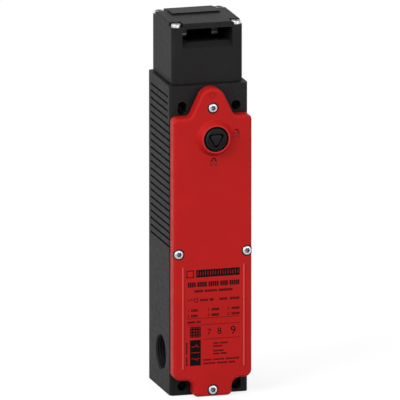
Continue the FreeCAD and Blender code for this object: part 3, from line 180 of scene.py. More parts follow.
# one procedural material, with the few steps that all of them share
class Finish:
    def __init__(self, name, look):
        self.material = bpy.data.materials.new(name)
        self.material.use_nodes = True
        self.tree = self.material.node_tree
        self.shader = self.tree.nodes["Principled BSDF"]
        self.shader.inputs["Base Color"].default_value = (*look["colour"], 1)
        self.shader.inputs["Metallic"].default_value = look.get("metallic", 0.0)
        self.shader.inputs["Roughness"].default_value = look["roughness"]
        self.shader.inputs["Specular IOR Level"].default_value = look.get("specular", 0.5)
        if "lacquer" in look:
            weight, roughness = look["lacquer"]
            self.shader.inputs["Coat Weight"].default_value = weight
            self.shader.inputs["Coat Roughness"].default_value = roughness
        self.place = self.tree.nodes.new("ShaderNodeTexCoord").outputs["Object"]
        self.colour = None
        self.normal = None

    def link(self, start, end):
        self.tree.links.new(start, end)

    def stretched(self, stretch):
        mapping = self.tree.nodes.new("ShaderNodeMapping")
        mapping.inputs["Scale"].default_value = stretch
        self.link(self.place, mapping.inputs["Vector"])
        return mapping.outputs["Vector"]

    # noise whose marks are about size metres across
    def grain(self, size, detail=2.0, rough=0.5, stretch=(1, 1, 1)):
        noise = self.tree.nodes.new("ShaderNodeTexNoise")
        noise.inputs["Scale"].default_value = 1.0 / size
        noise.inputs["Detail"].default_value = detail
        noise.inputs["Roughness"].default_value = rough
        self.link(self.stretched(stretch), noise.inputs["Vector"])
        return noise.outputs["Fac"]

    def cells(self, size):
        cell = self.tree.nodes.new("ShaderNodeTexVoronoi")
        cell.feature = "SMOOTH_F1"
        cell.inputs["Scale"].default_value = 1.0 / size
        self.link(self.place, cell.inputs["Vector"])
        return cell.outputs["Distance"]

    def stored(self, attribute):
        read = self.tree.nodes.new("ShaderNodeAttribute")
        read.attribute_name = attribute
        return read.outputs["Fac"]

    # turning marks round each screw, from the distance stored on its points
    def rings(self, attribute, pitch):
        scale = self.tree.nodes.new("ShaderNodeMath")
        scale.operation = "MULTIPLY"
        scale.inputs[1].default_value = 2 * math.pi / pitch
        wave = self.tree.nodes.new("ShaderNodeMath")
        wave.operation = "SINE"
        self.link(self.stored(attribute), scale.inputs[0])
        self.link(scale.outputs[0], wave.inputs[0])
        return wave.outputs[0]

    def ranged(self, field, low, high, start=0.0, end=1.0):
        reach = self.tree.nodes.new("ShaderNodeMapRange")
        reach.inputs["From Min"].default_value = low
        reach.inputs["From Max"].default_value = high
        reach.inputs["To Min"].default_value = start
        reach.inputs["To Max"].default_value = end
        self.link(field, reach.inputs["Value"])
        return reach.outputs["Result"]

    # lays a second colour over what is there, as far as field says
    def tint(self, field, colour, amount=1.0):
        mix = self.tree.nodes.new("ShaderNodeMix")
        mix.data_type = "RGBA"
        if self.colour is None:
            mix.inputs["A"].default_value = self.shader.inputs["Base Color"].default_value
        else:
            self.link(self.colour, mix.inputs["A"])
        mix.inputs["B"].default_value = (*colour, 1)
        self.link(self.ranged(field, 0.0, 1.0, 0.0, amount), mix.inputs["Factor"])
        self.colour = mix.outputs["Result"]
        self.link(self.colour, self.shader.inputs["Base Color"])

    def polish(self, field, low, high):
        spread = self.ranged(field, *finishSteps["glossSpan"], low, high)
        self.link(spread, self.shader.inputs["Roughness"])

    # bump whose full height is depth metres, laid over the ones before it
    def relief(self, field, depth):
        bump = self.tree.nodes.new("ShaderNodeBump")
        bump.inputs["Strength"].default_value = 1.0
        bump.inputs["Distance"].default_value = depth
        self.link(field, bump.inputs["Height"])
        if self.normal is not None:
            self.link(self.normal, bump.inputs["Normal"])
        self.normal = bump.outputs["Normal"]
        self.link(self.normal, self.shader.inputs["Normal"])

    # gives 0 at start and 1 at end, in mm along one object axis
    def along(self, axis, start, end):
        split = self.tree.nodes.new("ShaderNodeSeparateXYZ")
        self.link(self.place, split.inputs[0])
        return self.ranged(split.outputs[axis], start * mm, end * mm)

    # the same along the depth, in mm in front of the back
    def alongDepth(self, start, end):
        return self.along("Y", -start, -end)

    # gives 0 at start and 1 at end, in mm from the line through (x, z) that runs front to back
    def around(self, centre, start, end):
        reach = self.tree.nodes.new("ShaderNodeVectorMath")
        reach.operation = "DISTANCE"
        reach.inputs[1].default_value = (centre[0] * mm, 0, centre[1] * mm)
        self.link(self.stretched((1, 0, 1)), reach.inputs[0])
        return self.ranged(reach.outputs["Value"], start * mm, end * mm)

    # gives 1 along sharp edges and 0 on the flats
    def edges(self, radius):
        bevel = self.tree.nodes.new("ShaderNodeBevel")
        bevel.samples = finishSteps["edgeSamples"]
        bevel.inputs["Radius"].default_value = radius
        flat = self.tree.nodes.new("ShaderNodeNewGeometry")
        dot = self.tree.nodes.new("ShaderNodeVectorMath")
        dot.operation = "DOT_PRODUCT"
        self.link(bevel.outputs["Normal"], dot.inputs[0])
        self.link(flat.outputs["Normal"], dot.inputs[1])
        return self.ranged(dot.outputs["Value"], *finishSteps["edgeSpan"])

    def times(self, one, other):
        product = self.tree.nodes.new("ShaderNodeMath")
        product.operation = "MULTIPLY"
        product.use_clamp = True
        self.link(one, product.inputs[0])
        self.link(other, product.inputs[1])
        return product.outputs[0]


# a finish with its patches of other colours, its edges painted lighter as worn paint and as a painted
# edge highlight, and its uneven gloss.
# A grain is its size, detail, roughness and stretch
def startFinish(name, look):
    finish = Finish(name, look)
    for patch in look["patches"]:
        field = finish.ranged(finish.grain(*patch["grain"]), *patch["span"])
        finish.tint(field, patch["colour"], patch["amount"])
    if "wearAndEdgeHighlight" in look:
        # edges painted lighter: partly worn paint, partly a painted highlight where edges catch the
        # light
        wearAndEdgeHighlight = look["wearAndEdgeHighlight"]
        broken = finish.ranged(finish.grain(*wearAndEdgeHighlight["grain"]), *wearAndEdgeHighlight["span"])
        wornAndLitEdges = finish.times(finish.edges(wearAndEdgeHighlight["edge"]), broken)
        finish.tint(wornAndLitEdges, wearAndEdgeHighlight["colour"], wearAndEdgeHighlight["amount"])
    finish.polish(finish.grain(*look["gloss"]["grain"]), *look["gloss"]["roughness"])
    return finish


# lays the bumps, each with its depth, and gives the material
def endFinish(finish, look):
    for grain, depth in look.get("bumps", []):
        finish.relief(finish.grain(*grain), depth)
    for size, depth in look.get("cells", []):
        finish.relief(finish.cells(size), depth)
    return finish.material


castingCoat = {
    "colour": (0.0112, 0.0104, 0.0107), "roughness": 0.55, "specular": 0.11,
    "patches": [{"grain": (0.018, 3.0, 0.6), "span": (0.5, 0.8),
                 "colour": (0.021, 0.0195, 0.0198), "amount": 0.5}],
    # the casting's edges painted lighter: partly worn coat, partly a painted edge highlight
    "wearAndEdgeHighlight": {"edge": 0.0005, "grain": (0.0022, 3.0), "span": (0.35, 0.65),
             "colour": (0.06, 0.057, 0.057), "amount": 0.7},
    # painted shade: the casting painted darker towards the foot
    "foot": {"heights": (15.0, 9.0), "colour": (0.0035, 0.0035, 0.0035), "amount": 0.75},  # mm
    "gloss": {"grain": (0.0015, 2.0), "roughness": (0.5, 0.62)},
    "bumps": [((0.0045, 2.0), 0.00003), ((0.00045, 2.0, 0.6), 0.000022)],
}


def blackCasting():
    coat = castingCoat
    finish = startFinish("blackPowderCoat", coat)
    foot = coat["foot"]
    # painted shade, darker below 15 mm and full below 9 mm
    finish.tint(finish.along("Z", *foot["heights"]), foot["colour"], foot["amount"])
    return endFinish(finish, coat)


coverCoat = {
    "colour": (0.515, 0.0126, 0.012), "roughness": 0.45, "specular": 0.09,
    "patches": [{"grain": (0.03, 2.0), "span": (0.35, 0.75),
                 "colour": (0.45, 0.0105, 0.0102), "amount": 0.8}],
    # the cover's edges painted paler: a painted highlight on its rounded outline, broken up like wear
    "wearAndEdgeHighlight": {"edge": 0.0005, "grain": (0.003, 3.0), "span": (0.3, 0.7),
             "colour": (0.66, 0.05, 0.052), "amount": 0.6},
    # the ribs painted paler: a painted highlight along them
    "ribs": {"depths": (51.65, 51.85), "heights": (79.0, 78.0),
             "colour": (0.72, 0.09, 0.085), "amount": 0.8},  # mm
    # a pale ring painted round the collar's mouth: a painted highlight on its lip
    "mouth": {"depths": (54.6, 54.9), "centre": (0.8, 143.0), "radii": (7.7, 7.4),
              "colour": (0.66, 0.05, 0.052), "amount": 0.7},  # mm
    "gloss": {"grain": (0.004, 2.0), "roughness": (0.42, 0.52)},
    "bumps": [((0.0012, 1.0), 0.000018), ((0.00035, 2.0), 0.000008)],
}


def redCover():
    coat = coverCoat
    finish = startFinish("redSatinCoat", coat)
    ribs, mouth = coat["ribs"], coat["mouth"]
    # painted highlight on the ribs
    litRidges = finish.times(finish.alongDepth(*ribs["depths"]), finish.along("Z", *ribs["heights"]))
    finish.tint(litRidges, ribs["colour"], ribs["amount"])
    # painted highlight round the collar's mouth
    ring = finish.around(mouth["centre"], *mouth["radii"])
    lip = finish.times(finish.alongDepth(*mouth["depths"]), ring)
    finish.tint(lip, mouth["colour"], mouth["amount"])
    return endFinish(finish, coat)


plasticLook = {
    "colour": (0.0055, 0.0058, 0.0058), "roughness": 0.45, "specular": 0.08,
    "patches": [{"grain": (0.006, 2.0), "span": (0.4, 0.7),
                 "colour": (0.0085, 0.0088, 0.0088), "amount": 0.6}],
    # edges painted lighter as a painted edge highlight
    "edge": {"radius": 0.00025, "colour": (0.03, 0.03, 0.032), "amount": 0.5},
    "gloss": {"grain": (0.0009, 2.0), "roughness": (0.38, 0.52)},
    "cells": [(0.00028, 0.000012)],
}


def blackPlastic(name, key=None):
    look = plasticLook
    finish = startFinish(name, look)
    edge = look["edge"]
    # painted edge highlight
    finish.tint(finish.edges(edge["radius"]), edge["colour"], edge["amount"])
    if key:  # a stud painted greyer as painted light, a chamfer painted paler as a painted highlight, and painted shade in black below them
        stud, chamfer, rim = key["studPaintedLight"], key["chamferHighlight"], key["recessShade"]
        middle = finish.around(key["centre"], *stud["radii"])
        finish.tint(finish.times(finish.alongDepth(*stud["depths"]), middle), stud["colour"])
        finish.tint(finish.around(key["centre"], *chamfer["radii"]), chamfer["colour"])
        finish.tint(finish.alongDepth(*rim["depths"]), rim["colour"])
    return endFinish(finish, look)


zincLook = {
    "colour": (0.54, 0.55, 0.57), "metallic": 1.0, "roughness": 0.3,
    "patches": [{"grain": (0.0025, 3.0), "span": (0.45, 0.7),
                 "colour": (0.38, 0.4, 0.44), "amount": 0.8}],
    "gloss": {"grain": (0.0006, 3.0), "roughness": (0.24, 0.42)},
    # the socket painted dark blue-black as its shade
    "socket": {"colour": (0.05, 0.055, 0.075), "amount": 0.9},
    "turning": {"pitch": 0.00022, "depth": 0.000004},
    "bumps": [((0.0002, 2.0), 0.000004)],
}


def zincPlate(name, turned=False):
    look = zincLook
    finish = startFinish(name, look)
    if turned:
        socket, turning = look["socket"], look["turning"]
        # painted shade in the socket, and on the head screws over the head's top
        finish.tint(finish.stored("inShadedSocket"), socket["colour"], socket["amount"])
        finish.relief(finish.rings("fromAxis", turning["pitch"]), turning["depth"])
    return endFinish(finish, look)


# steel painted near black as the shade inside the head's slot, with a painted glint band
camLook = {
    "colour": (0.025, 0.025, 0.027), "metallic": 1.0, "roughness": 0.32,
    "patches": [{"grain": (0.003, 3.0), "span": (0.45, 0.75),
                 "colour": (0.014, 0.014, 0.015), "amount": 0.7}],
    "glintBand": {"heights": (193.9, 194.5, 195.1), "colour": (0.24, 0.235, 0.235), "amount": 0.85},  # mm
    "gloss": {"grain": (0.0004, 2.0, 0.5, (1, 8, 8)), "roughness": (0.24, 0.42)},
    "bumps": [((0.0002, 2.0, 0.5, (1, 8, 8)), 0.000004)],
}


# painted shade: the cam near black, with a painted glint band
def shadedCamSteel():
    look = camLook
    finish = startFinish("shadedCamSteel", look)
    low, middle, high = look["glintBand"]["heights"]  # a painted glint band across the cam at these heights
    glintBand = finish.times(finish.along("Z", low, middle), finish.along("Z", high, middle))
    finish.tint(glintBand, look["glintBand"]["colour"], look["glintBand"]["amount"])
    return endFinish(finish, look)


plainLooks = {
    "blackSealRubber": {
        "colour": (0.011, 0.011, 0.011), "roughness": 0.8, "specular": 0.2,
        "patches": [{"grain": (0.004, 3.0), "span": (0.5, 0.8),
                     "colour": (0.03, 0.029, 0.028), "amount": 0.6}],
        "gloss": {"grain": (0.002, 2.0), "roughness": (0.7, 0.88)},
        "bumps": [((0.0003, 2.0), 0.00002)],
    },
    "groundSteel": {
        "colour": (0.52, 0.515, 0.5), "metallic": 1.0, "roughness": 0.34,
        "patches": [{"grain": (0.005, 3.0), "span": (0.5, 0.8),
                     "colour": (0.4, 0.39, 0.37), "amount": 0.6}],
        "gloss": {"grain": (0.0002, 2.0, 0.5, (1, 14, 14)), "roughness": (0.26, 0.46)},
        "bumps": [((0.00015, 2.0, 0.5, (1, 12, 12)), 0.000005)],
    },
    "plainBronze": {
        "colour": (0.6, 0.39, 0.19), "metallic": 1.0, "roughness": 0.36,
        "patches": [{"grain": (0.003, 4.0), "span": (0.45, 0.75),
                     "colour": (0.42, 0.25, 0.12), "amount": 0.7}],
        "gloss": {"grain": (0.0008, 3.0), "roughness": (0.28, 0.46)},
        "bumps": [((0.00012, 2.0, 0.5, (10, 10, 1)), 0.000004)],
    },
    "lacqueredCopper": {
        "colour": (0.62, 0.235, 0.095), "metallic": 1.0, "roughness": 0.3, "lacquer": (0.4, 0.15),
        "patches": [{"grain": (0.004, 2.0), "span": (0.4, 0.7),
                     "colour": (0.45, 0.13, 0.05), "amount": 0.6}],
        "gloss": {"grain": (0.001, 2.0), "roughness": (0.24, 0.38)},
        "bumps": [((0.0002, 2.0), 0.000004)],
    },
    "greyMoulding": {
        "colour": (0.27, 0.275, 0.285), "roughness": 0.5, "specular": 0.4,
        "patches": [
            {"grain": (0.01, 3.0, 0.6, (1, 1, 3)), "span": (0.4, 0.7),
             "colour": (0.23, 0.235, 0.24), "amount": 0.7},
            {"grain": (0.0004, 1.0), "span": (0.62, 0.7), "colour": (0.4, 0.4, 0.4), "amount": 0.35},
        ],
        "gloss": {"grain": (0.0012, 2.0), "roughness": (0.42, 0.58)},
        "cells": [(0.00035, 0.00001)],
    },
    "printInk": {
        "colour": (0.0035, 0.0016, 0.002), "roughness": 0.5, "specular": 0.05,
        "patches": [{"grain": (0.0012, 3.0), "span": (0.5, 0.85),
                     "colour": (0.025, 0.003, 0.0035), "amount": 0.6}],
        "gloss": {"grain": (0.0007, 2.0), "roughness": (0.42, 0.6)},
        "bumps": [((0.0003, 2.0), 0.000006)],
    },
    # a darker red, painted as the shade of the moulded symbols' relief
    "markRedPaintedShade": {
        "colour": (0.25, 0.008, 0.009), "roughness": 0.5, "specular": 0.25,
        "patches": [{"grain": (0.002, 2.0), "span": (0.4, 0.7),
                     "colour": (0.31, 0.01, 0.011), "amount": 0.7}],
        "gloss": {"grain": (0.0009, 2.0), "roughness": (0.45, 0.58)},
        "bumps": [((0.0004, 2.0), 0.000008)],
    },
}


def plainFinish(name):
    look = plainLooks[name]
    return endFinish(startFinish(name, look), look)


finishes = {
    "black_casting": blackCasting(),
    "red_cover": redCover(),
    "black_rubber": plainFinish("blackSealRubber"),
    "zinc_screws": zincPlate("brightZinc"),
    "black_plastic": blackPlastic("blackPlugPlastic"),
    "bright_steel": plainFinish("groundSteel"),
    "bronze": plainFinish("plainBronze"),
    "copper_wire": plainFinish("lacqueredCopper"),
    "grey_moulding": plainFinish("greyMoulding"),
}
slotOf = {row["node"]: row["material_slot"] for row in frame["record"]["subparts"]}
for name, node in nodes.items():
    node.data.materials.clear()
    node.data.materials.append(finishes[slotOf[name]])
nodes["cam_wheel"].data.materials[0] = shadedCamSteel()
print("finishes laid on", len(slotOf), "nodes")


# Shared steps for the pieces below

# the box of each separate solid in a node, from a merged copy of its mesh
def solidBoxes(name, mergeGap=0.002 * mm):
    copy = bmesh.new()
    copy.from_mesh(nodes[name].data)
    bmesh.ops.remove_doubles(copy, verts=copy.verts, dist=mergeGap)
    boxes, seen = [], set()
    for start in copy.verts:
        if start in seen:
            continue
        island, edge = [], [start]
        seen.add(start)
        while edge:
            vert = edge.pop()
            island.append(vert.co.copy())
            for link in vert.link_edges:
                other = link.other_vert(vert)
                if other not in seen:
                    seen.add(other)
                    edge.append(other)
        low = Vector(min(co[i] for co in island) for i in range(3))
        high = Vector(max(co[i] for co in island) for i in range(3))
        boxes.append((low, high))
    copy.free()
    return boxes


def shade(form, angle=35.0):
    for face in form.faces:
        face.smooth = True
    for edge in form.edges:
        edge.smooth = edge.is_manifold and edge.calc_face_angle(0.0) < math.radians(angle)


def asObject(name, form, finish=None):
    mesh = bpy.data.meshes.new(name)
    form.to_mesh(mesh)
    form.free()
    piece = bpy.data.objects.new(name, mesh)
    scene.collection.objects.link(piece)
    if finish is not None:
        mesh.materials.append(finish)
    return piece


# a closed solid through rings of (radius, height) in mm, where a radius may be a rule of the angle.
# Each point keeps its distance from the axis, and whether it is in the socket, which the zinc paints
# dark as shade
def ringed(rings, count, bottom=None, top=None, socketFrom=None):
    form = bmesh.new()
    fromAxis = form.verts.layers.float.new("fromAxis")
    inShadedSocket = form.verts.layers.float.new("inShadedSocket")
    loops = []
    for place, (radius, height) in enumerate(rings):
        loop = []
        for step in range(count):
            angle = 2 * math.pi * step / count
            reach = radius(angle) if callable(radius) else radius
            vert = form.verts.new((
                reach * math.cos(angle) * mm, reach * math.sin(angle) * mm, height * mm))
            vert[fromAxis] = reach * mm
            vert[inShadedSocket] = float(socketFrom is not None and place >= socketFrom)
            loop.append(vert)
        loops.append(loop)
    pairs = list(zip(loops, loops[1:]))
    if bottom is None:
        pairs.append((loops[-1], loops[0]))
    for below, above in pairs:
        for step in range(count):
            after = (step + 1) % count
            form.faces.new((below[step], below[after], above[after], above[step]))
    for height, loop, turned in ((bottom, loops[0], True), (top, loops[-1], False)):
        if height is not None:
            pole = form.verts.new((0, 0, height * mm))
            pole[inShadedSocket] = float(socketFrom is not None and not turned)
            for step in range(count):
                after = (step + 1) % count
                first, second = (after, step) if turned else (step, after)
                form.faces.new((loop[first], loop[second], pole))
    bmesh.ops.recalc_face_normals(form, faces=form.faces)
    return form


# an empty Geometry Nodes tree with named inputs, and its two end nodes
def newTree(name, fields):
    tree = bpy.data.node_groups.new(name, "GeometryNodeTree")
    tree.interface.new_socket("Geometry", in_out="INPUT", socket_type="NodeSocketGeometry")
    for label, kind in fields.items():
        tree.interface.new_socket(label, in_out="INPUT", socket_type="NodeSocket" + kind)
    tree.interface.new_socket("Geometry", in_out="OUTPUT", socket_type="NodeSocketGeometry")
    start = tree.nodes.new("NodeGroupInput")
    end = tree.nodes.new("NodeGroupOutput")
    return tree, start, end


# runs a tree on a base mesh and keeps the result as a plain mesh
def grown(name, tree, base, settings):
    piece = bpy.data.objects.new(name, base)
    scene.collection.objects.link(piece)
    grower = piece.modifiers.new("grow", "NODES")
    grower.node_group = tree
    for item in tree.interface.items_tree:
        if item.in_out == "INPUT" and item.name in settings:
            grower[item.identifier] = settings[item.name]
    graph = bpy.context.evaluated_depsgraph_get()
    result = bpy.data.meshes.new_from_object(piece.evaluated_get(graph))
    piece.modifiers.remove(grower)
    piece.data = result
    result.name = name
    return piece


# puts a copy of one piece on every point, each turned by its own amount about one axis
def repeatTree():
    tree, start, end = newTree("repeatOnPoints", {
        "Piece": "Object", "Axis": "Vector", "Largest Turn": "Float", "Seed": "Int",
        "Finish": "Material"})
    info = tree.nodes.new("GeometryNodeObjectInfo")
    chance = tree.nodes.new("FunctionNodeRandomValue")
    turn = tree.nodes.new("ShaderNodeVectorMath")
    turn.operation = "SCALE"
    toRotation = tree.nodes.new("FunctionNodeEulerToRotation")
    place = tree.nodes.new("GeometryNodeInstanceOnPoints")
    realize = tree.nodes.new("GeometryNodeRealizeInstances")
    paint = tree.nodes.new("GeometryNodeSetMaterial")
    link = tree.links.new
    link(start.outputs["Piece"], info.inputs["Object"])
    link(start.outputs["Largest Turn"], chance.inputs[3])
    link(start.outputs["Seed"], chance.inputs["Seed"])
    link(start.outputs["Axis"], turn.inputs[0])
    link(chance.outputs[1], turn.inputs["Scale"])
    link(turn.outputs[0], toRotation.inputs[0])
    link(start.outputs["Geometry"], place.inputs["Points"])
    link(info.outputs["Geometry"], place.inputs["Instance"])
    link(toRotation.outputs[0], place.inputs["Rotation"])
    link(place.outputs[0], realize.inputs[0])
    link(realize.outputs[0], paint.inputs["Geometry"])
    link(start.outputs["Finish"], paint.inputs["Material"])
    link(paint.outputs[0], end.inputs[0])
    return tree


def pointsMesh(name, points):
    mesh = bpy.data.meshes.new(name)
    mesh.from_pydata([tuple(point) for point in points], [], [])
    return mesh


repeatOnPoints = repeatTree()


def repeated(name, form, points, axis, finish, seed, largestTurn=2 * math.pi):
    pattern = asObject(name + "Pattern", form)
    piece = grown(name, repeatOnPoints, pointsMesh(name, points), {
        "Piece": pattern, "Axis": axis, "Largest Turn": largestTurn, "Seed": seed, "Finish": finish})
    bpy.data.objects.remove(pattern)
    return piece


towardsFront = Matrix.Rotation(math.radians(90.0), 4, "X")  # turns +Z to -Y


# Screws with lobed sockets, in place of the plain ones, in mm

turnedZinc = zincPlate("turnedZinc", turned=True)

# the count below is how many of the last rings count as in the socket and are painted dark as its
# shade; on the head screws they reach onto the head's top as painted shade
coverScrew = {
    "head": 2.5, "headTall": 2.9, "crown": 0.14, "threadLong": 6.0,
    "socketDeep": 1.6, "socketShadeRings": 3, "seed": 4,
}
headScrew = {
    "head": 2.6, "headTall": 2.0, "crown": 0.1, "threadLong": 6.5,
    "socketDeep": 1.3, "socketShadeRings": 6, "seed": 9,
}
screwShape = {
    "shank": 1.5, "core": 1.22, "pitch": 0.5, "tip": 1.0, "tipTall": 0.25,
    "firstThread": 0.4, "crest": (0.2, 0.28), "threadEnd": 0.6, "break": 0.12,
    # inset from the head's side, depth below its top, and the share of the crown added to that
    "dome": [(0.0, 0.62, 1.0), (0.05, 0.42, 1.0), (0.18, 0.2, 1.0), (0.4, 0.06, 1.0),
             (0.62, 0.02, 0.5)],
    "socket": 1.24, "lobe": 0.17, "lobes": 6, "lip": 0.42, "draft": 0.02,
    "mouth": [(0.1, 0.02), (0.0, 0.14)],  # how much wider than the socket, and how deep
    "floor": 0.6, "floorDrop": 0.12, "floorPoint": 0.2, "sides": 48,
}


# upright, with the top of the head at the origin
def screwForm(screw, length):
    shape = screwShape
    head, tall, deep = screw["head"], screw["headTall"], screw["socketDeep"]
    shank, core, pitch, cut = shape["shank"], shape["core"], shape["pitch"], shape["break"]

    def lobed(grow):
        return lambda angle: (
            shape["socket"] + grow + shape["lobe"] * math.cos(shape["lobes"] * angle))

    rings = [(shape["tip"], -length), (core, -length + shape["tipTall"])]
    turns = int(screw["threadLong"] / pitch)
    for turn in range(turns):
        level = -length + shape["firstThread"] + turn * pitch
        rings += [(core, level)] + [(shank, level + rise) for rise in shape["crest"]]
    rings += [(shank, -length + shape["threadEnd"] + turns * pitch), (shank, -tall),
              (head - cut, -tall), (head, -tall + cut)]
    rings += [(head - inset, -depth - share * screw["crown"])
              for inset, depth, share in shape["dome"]]
    rings.append((shape["socket"] + shape["lip"], 0.0))
    rings += [(lobed(grow), -depth) for grow, depth in shape["mouth"]]
    rings += [(lobed(-shape["draft"]), -deep), (shape["floor"], -deep - shape["floorDrop"])]
    form = ringed(rings, shape["sides"], bottom=-length, top=-deep - shape["floorPoint"],
                  socketFrom=len(rings) - screw["socketShadeRings"])
    shade(form)
    return form


def driveScrews():
    fronts = solidBoxes("cover_screws")
    long = max(high.y - low.y for low, high in fronts) / mm
    form = screwForm(coverScrew, long)
    form.transform(towardsFront)
    tops = [((low.x + high.x) / 2, low.y, (low.z + high.z) / 2) for low, high in fronts]
    screws = repeated("coverScrewsZinc", form, tops, (0, 1, 0), turnedZinc, coverScrew["seed"])
    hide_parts("cover_screws")
    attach(screws, "housing")
    uprights = solidBoxes("head_screws")
    long = max(high.z - low.z for low, high in uprights) / mm
    form = screwForm(headScrew, long)
    heads = [((low.x + high.x) / 2, (low.y + high.y) / 2, high.z) for low, high in uprights]
    screws = repeated("headScrewsZinc", form, heads, (0, 0, 1), turnedZinc, headScrew["seed"])
    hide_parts("head_screws")
    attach(screws, "housing")
    return tops


sealRing = {
    "inner": 2.52, "outer": 3.13, "belowTop": 0.95, "tall": 1.5, "edgeIn": 0.08,
    "edgeDown": (0.12, 0.03), "widest": 21.7, "sides": 48, "seed": 2,
}


# rubber rings in the sunk holes round the cover screws, cut flush with the cover's sides; their black
# stands in partly for the shade in the sunk holes
def fitSealRings(tops):
    ring = sealRing
    inner, outer, edge = ring["inner"], ring["outer"], ring["edgeIn"]
    high, low = -ring["belowTop"], -ring["belowTop"] - ring["tall"]
    side, shoulder = (high - drop for drop in ring["edgeDown"])
    rings = [(inner, low), (outer, low), (outer, side), (outer - edge, shoulder),
             ((inner + outer) / 2, high), (inner + edge, shoulder), (inner, side)]
    form = ringed(rings, ring["sides"])
    shade(form)
    form.transform(towardsFront)
    rubber = finishes["black_rubber"]
    seals = repeated("coverScrewSeals", form, tops, (0, 1, 0), rubber, ring["seed"])
    widest = ring["widest"] * mm
    for vertex in seals.data.vertices:
        vertex.co.x = max(-widest, min(widest, vertex.co.x))
    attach(seals, "housing")


fitSealRings(driveScrews())
print("screws and their seals fitted")


# Key release, in mm: a disc with a chamfer inside a rim painted black as shade, and a three-cornered
# stud in its socket

keyDisc = {
    "centre": (0.8, 143.0), "front": 55.5, "rear": 51.8, "barrelRear": 46.5,
    "barrel": 4.5, "disc": 6.8, "face": 5.2, "chamfer": 0.6, "rimDrop": 1.7,
    "socketSide": 10.0, "socketRound": 1.35, "socketDeep": 3.0,
    "studSide": 7.9, "studRound": 1.15, "studDrop": 0.25, "sides": 96, "shadeAngle": 30.0,
    "edge": 0.2, "rearEdge": 0.15, "gap": 0.04, "socketEdge": 0.12,
    # inset and depth below the top, of the face's rim and of the stud's
    "faceEdge": [(-0.08, 0.06), (0.06, 0.0)],
    "studEdge": [(0.0, 0.15), (0.05, 0.04), (0.17, 0.0)],
    # painted shade in black below the face, painted light on the stud's top, and a painted highlight on
    # the chamfer
    "recessShade": {"depths": (54.9, 54.75), "colour": (0.0004, 0.0003, 0.0003)},
    "studPaintedLight": {"depths": (55.42, 55.35), "radii": (4.0, 3.8), "colour": (0.0125, 0.0108, 0.0118)},
    "chamferHighlight": {"radii": (5.1, 5.3), "colour": (0.019, 0.018, 0.018)},
}


# a triangle with a flat top and rounded corners, as a radius for each angle
def threeCornered(side, rounding, grow):
    inner = side / (2 * math.sqrt(3)) + grow
    corner = 2 * inner - 2 * rounding
    turn = math.atan2(rounding * math.sqrt(0.75), corner + rounding / 2)

    def reach(angle):
        off = (angle - math.pi / 2) % (2 * math.pi / 3)
        off = min(off, 2 * math.pi / 3 - off)
        fromCorner = math.pi / 3 - off
        if fromCorner < turn:
            return corner * math.cos(fromCorner) + math.sqrt(
                rounding ** 2 - (corner * math.sin(fromCorner)) ** 2)
        return inner / math.cos(off)

    return reach


def turnKeyBarrel():
    key = keyDisc
    front, rear, barrelRear = key["front"], key["rear"], key["barrelRear"]
    barrel, disc, face = key["barrel"], key["disc"], key["face"]
    edge, chamfer = key["edge"], key["chamfer"]
    rim, floor, top = front - key["rimDrop"], front - key["socketDeep"], front - key["studDrop"]

    def socket(grow):
        return threeCornered(key["socketSide"], key["socketRound"], grow)

    def stud(grow):
        return threeCornered(key["studSide"], key["studRound"], grow)

    rings = [
        (barrel - edge, barrelRear), (barrel, barrelRear + edge), (barrel, rear),
        (disc - key["rearEdge"], rear), (disc, rear + key["rearEdge"]), (disc, rim - edge),
        (disc - edge, rim), (face + chamfer + key["gap"], rim), (face + chamfer, front - chamfer)]
    rings += [(face - inset, front - depth) for inset, depth in key["faceEdge"]]
    rings += [
        (socket(key["socketEdge"]), front), (socket(0.0), front - key["socketEdge"]),
        (socket(0.0), floor), (stud(0.0), floor)]
    rings += [(stud(-inset), top - depth) for inset, depth in key["studEdge"]]
    form = ringed(rings, key["sides"], bottom=barrelRear, top=top)
    shade(form, key["shadeAngle"])
    x, z = key["centre"]
    form.transform(Matrix.Translation((x * mm, 0, z * mm)) @ towardsFront)
    piece = asObject("keyReleaseBarrel", form, blackPlastic("blackKeyPlastic", key))
    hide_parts("release_barrel")
    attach(piece, "release")


turnKeyBarrel()
print("key release turned")


# Gland threads in the two cable entries, in mm and degrees

glandThread = {
    "radius": 9.28, "ridge": 0.42, "ridgeSides": 4, "pitch": 1.5, "stepsPerTurn": 40,
    "entries": {
        "leftEntryThread": {"low": (-20.75, -25.3, 20.2), "length": 5.6, "turn": (0, 90, 0)},
        "footEntryThread": {"low": (0.0, -20.75, 1.1), "length": 10.4, "turn": (0, 0, 0)},
    },
}


